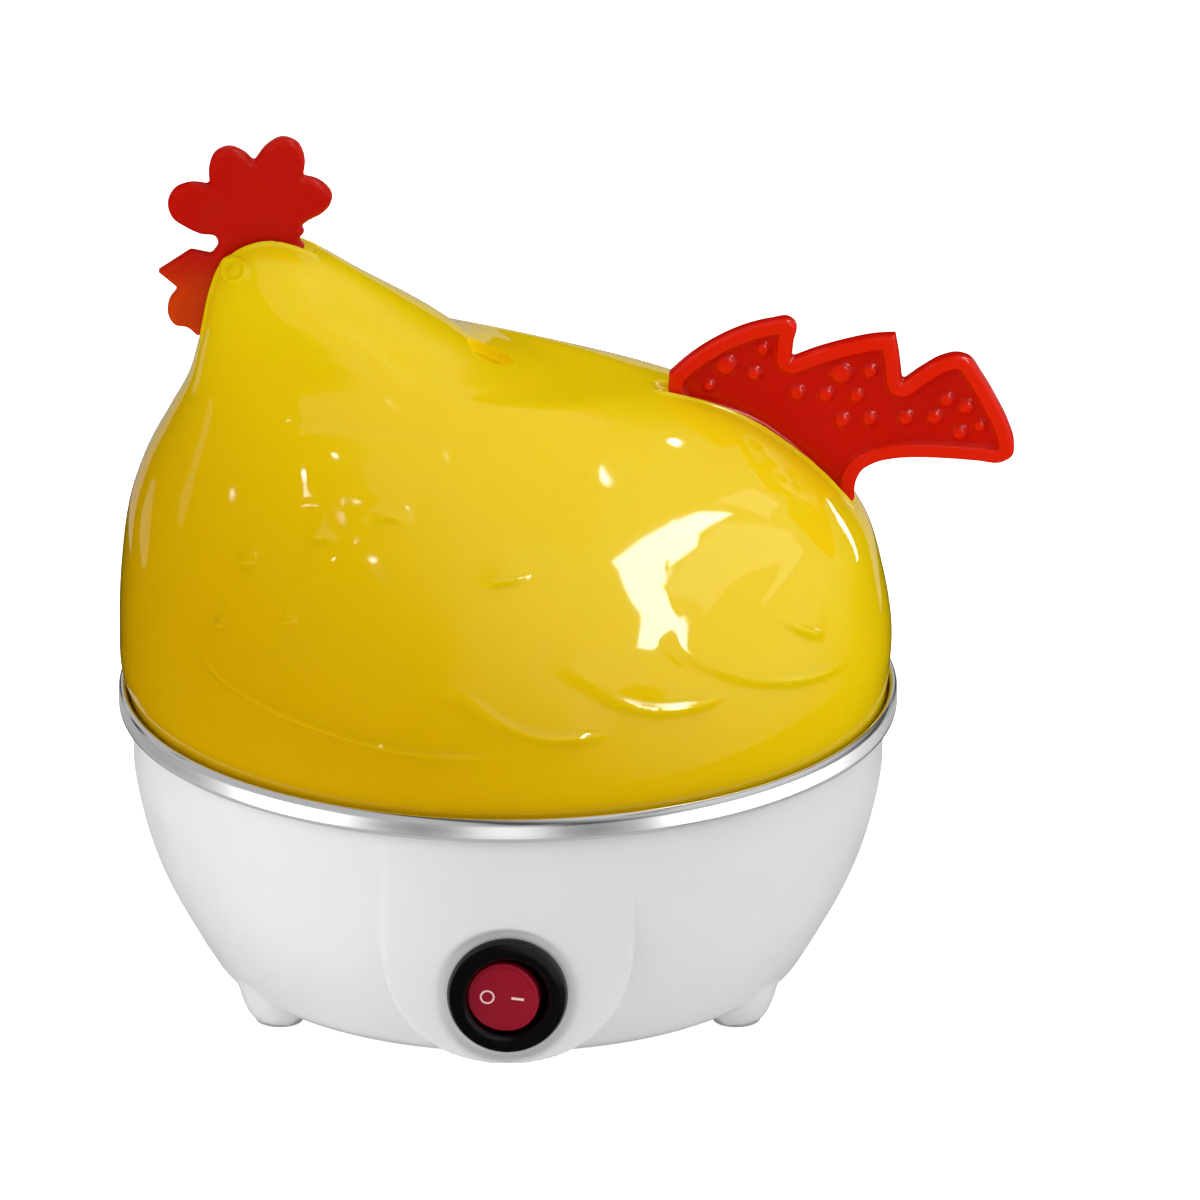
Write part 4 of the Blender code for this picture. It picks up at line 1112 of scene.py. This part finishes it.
# What the metal rim mirrors: place round the rim in degrees from the front, and brightness.
RIM_CARD_RADII = (0.20, 0.36)
RIM_CARD_HEIGHT = -0.02
RIM_PEAK = 3.6
RIM_FRONT = 1.15
RIM_LEFT = (
    (4, 1.0), (8, 0.45), (13, 0.3), (19, 0.5), (24, 1.2), (29, 2.6), (34, 3.4), (39, 2.6), (45, 1.0),
    (52, 0.5), (62, 0.4), (78, 0.45),
)
RIM_RIGHT = (
    (4, 1.0), (8, 0.45), (13, 0.3), (20, 0.6), (25, 1.6), (30, 3.0), (37, 3.6), (46, 3.2), (54, 1.6),
    (63, 0.9), (78, 0.5),
)


def make_rim_card(pieces):
    """A lit ring under the floor, just where the upright rim mirrors it, bright and dark by turns."""
    circle = [(math.cos(i / 48 * TURN), math.sin(i / 48 * TURN)) for i in range(48)]
    points = [(radius * x, radius * y, RIM_CARD_HEIGHT) for radius in RIM_CARD_RADII for x, y in circle]
    faces = [(i, (i + 1) % 48, 48 + (i + 1) % 48, 48 + i) for i in range(48)]
    material = glowing("rim_card", RIM_PEAK)
    tree = material.node_tree
    turned = add_node(tree, "Mapping", Rotation=(0, 0, TURN / 4))
    gradient = add_node(tree, "TexGradient")
    gradient.gradient_type = "RADIAL"
    ramp = add_node(tree, "ValToRGB")
    tree.links.new(add_node(tree, "TexCoord").outputs["Object"], turned.inputs["Vector"])
    tree.links.new(turned.outputs["Vector"], gradient.inputs["Vector"])
    tree.links.new(gradient.outputs["Fac"], ramp.inputs["Fac"])
    tree.links.new(ramp.outputs["Color"], tree.nodes["Emission"].inputs["Color"])

    def around(degrees):
        """Where on the ring the reflection at this place on the rim lands."""
        a = math.radians(degrees)
        x, y = 70 * math.sin(a) + 200 * math.sin(2 * a), 70 * math.cos(a) + 200 * math.cos(2 * a)
        return math.atan2(x, y) / TURN

    stops = [(0.5 - around(at), value) for at, value in reversed(RIM_LEFT)]
    stops += [(0.5, RIM_FRONT)] + [(0.5 + around(at), value) for at, value in RIM_RIGHT]
    elements = ramp.color_ramp.elements
    elements[0].position, elements[1].position = stops[0][0], stops[-1][0]
    for at, _ in stops[1:-1]:
        elements.new(at)
    for element, (_, value) in zip(elements, stops):
        element.color = (*[value / RIM_PEAK] * 3, 1)
    ring = sheet("rim_card", points, faces, material)
    ring.location.x = AXIS[0] * MM
    only_mirrored(ring, pieces)


def make_flag(pieces):
    """A dim sheet over the neck, so that the window shows on the flank only."""
    (left, near), (right, far) = FLAG
    corners = [(left, near), (right, near), (right, far), (left, far)]
    points = [((x + AXIS[0]) * MM, y * MM, FLAG_HEIGHT * MM) for x, y in corners]
    only_mirrored(sheet("flag", points, [(0, 1, 2, 3)], glowing("flag", FLAG_GLOW)), pieces)


def make_metal_room(pieces):
    """A pale ball round everything but the bright side of the room, which only the metal mirrors."""
    body = bmesh.new()
    bmesh.ops.create_icosphere(body, subdivisions=3, radius=6.0)
    bright = Vector(ROOM_DIRECTION).normalized()
    lit = [face for face in body.faces if face.calc_center_median().normalized().dot(bright) > 0.3]
    bmesh.ops.delete(body, geom=lit, context="FACES")
    ball = bmesh_object("metal_room", body, glowing("metal_room", METAL_ROOM_GLOW))
    only_mirrored(ball, pieces)


def make_lights(glossy, reds, whites):
    area_light("key", -48, 27, 1.4, (1.0, 1.0), 6.9)
    area_light("fill", 44, 33, 1.6, (1.2, 1.0), 3.3)
    area_light("top", 110, 70, 1.4, (1.2, 1.2), 8.5)
    area_light("lid_fill", 92, 4, 1.4, (0.8, 0.8), 6.4, glossy)
    area_light("left_side", -90, -2, 1.4, (0.8, 0.8), 7.4, whites)
    area_light("right_side", 98, 16, 1.4, (0.8, 0.8), 5.6, whites)
    area_light("front", -55, -6, 1.6, (0.8, 0.8), 3.4, whites)
    card("window", WINDOW, 17.0, glossy)
    for number, corners in enumerate(SKY):
        card(f"sky_{number}", corners, 1.8, glossy, (1.0, 0.97, 0.85))
    for number, (azimuth, elevation, across, up, lean) in enumerate(LAMPS):
        card(f"lamp_{number}", spot_corners(azimuth, elevation, across, up, lean), 26.0, glossy)
    card("door", DOOR, 9.0, glossy)
    card("left_streak", spot_corners(-111, 15, 3, 6), 0.4, glossy)
    card("left_edge", spot_corners(-135, -8, 6, 6), 0.35, glossy)
    card("back", BACK_WALL, 0.35, glossy)
    card("red_lamp", spot_corners(42, 27, 7, 7), 16.0, reds)
    daylight_inside = light("inner", "POINT", Vector((*(AXIS[:2] * MM), 0.085)), 0.07, glossy)
    daylight_inside.data.shadow_soft_size = 0.02


# ---------------------------------- everything

lid = attach(make_lid(), "lid", "lid_yellow", "lid_shell")
comb = moulded_plate("hen_comb", COMB_OUTLINE, comb_form, RED, 0.36)
attach(comb, "lid", "comb_red", "comb_and_beak")
tail = moulded_plate("hen_tail", TAIL_OUTLINE, tail_form, TAIL_RED, 0.26)
attach(tail, "lid", "comb_red", "tail_fan")
attach(make_tray(), "tray", "tray_ivory", "egg_tray")
dish = attach(make_dish(), "base", "steel", "heating_dish")
housing = attach(make_housing(), "base", "housing_white", "base_housing")
make_pads()
make_switch()
make_gland()

NODE_MATERIALS = {
    "bottom_cover": WHITE, "cover_screw": STEEL, "heater_element": DARK_STEEL, "heater_clamp": ALUMINIUM,
    "clamp_nut": STEEL, "thermostat": STEEL, "thermal_fuse": STEEL, "fuse_clip": STEEL,
    "terminal_block": NYLON, "block_screw": BRASS, "wire_": SLEEVE, "switch_terminal": BRASS,
    "switch_plunger": NYLON, "plunger_spring": STEEL, "contact_lever": BRASS, "neon_lamp": LAMP,
}
for node_name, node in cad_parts.items():
    for prefix, material in NODE_MATERIALS.items():
        if node_name.startswith(prefix):
            for slot in node.material_slots:
                slot.material = material

make_floor()
make_world()
glossy_pieces = piece_group("glossy_pieces", lid, comb, tail)
metal_pieces = piece_group("metal_pieces", dish)
make_lights(glossy_pieces, piece_group("red_pieces", comb, tail), piece_group("white_pieces", housing))
make_flag(glossy_pieces)
make_metal_room(metal_pieces)
make_rim_card(metal_pieces)
make_camera()
scene = bpy.context.scene
scene.view_settings.view_transform = "Standard"
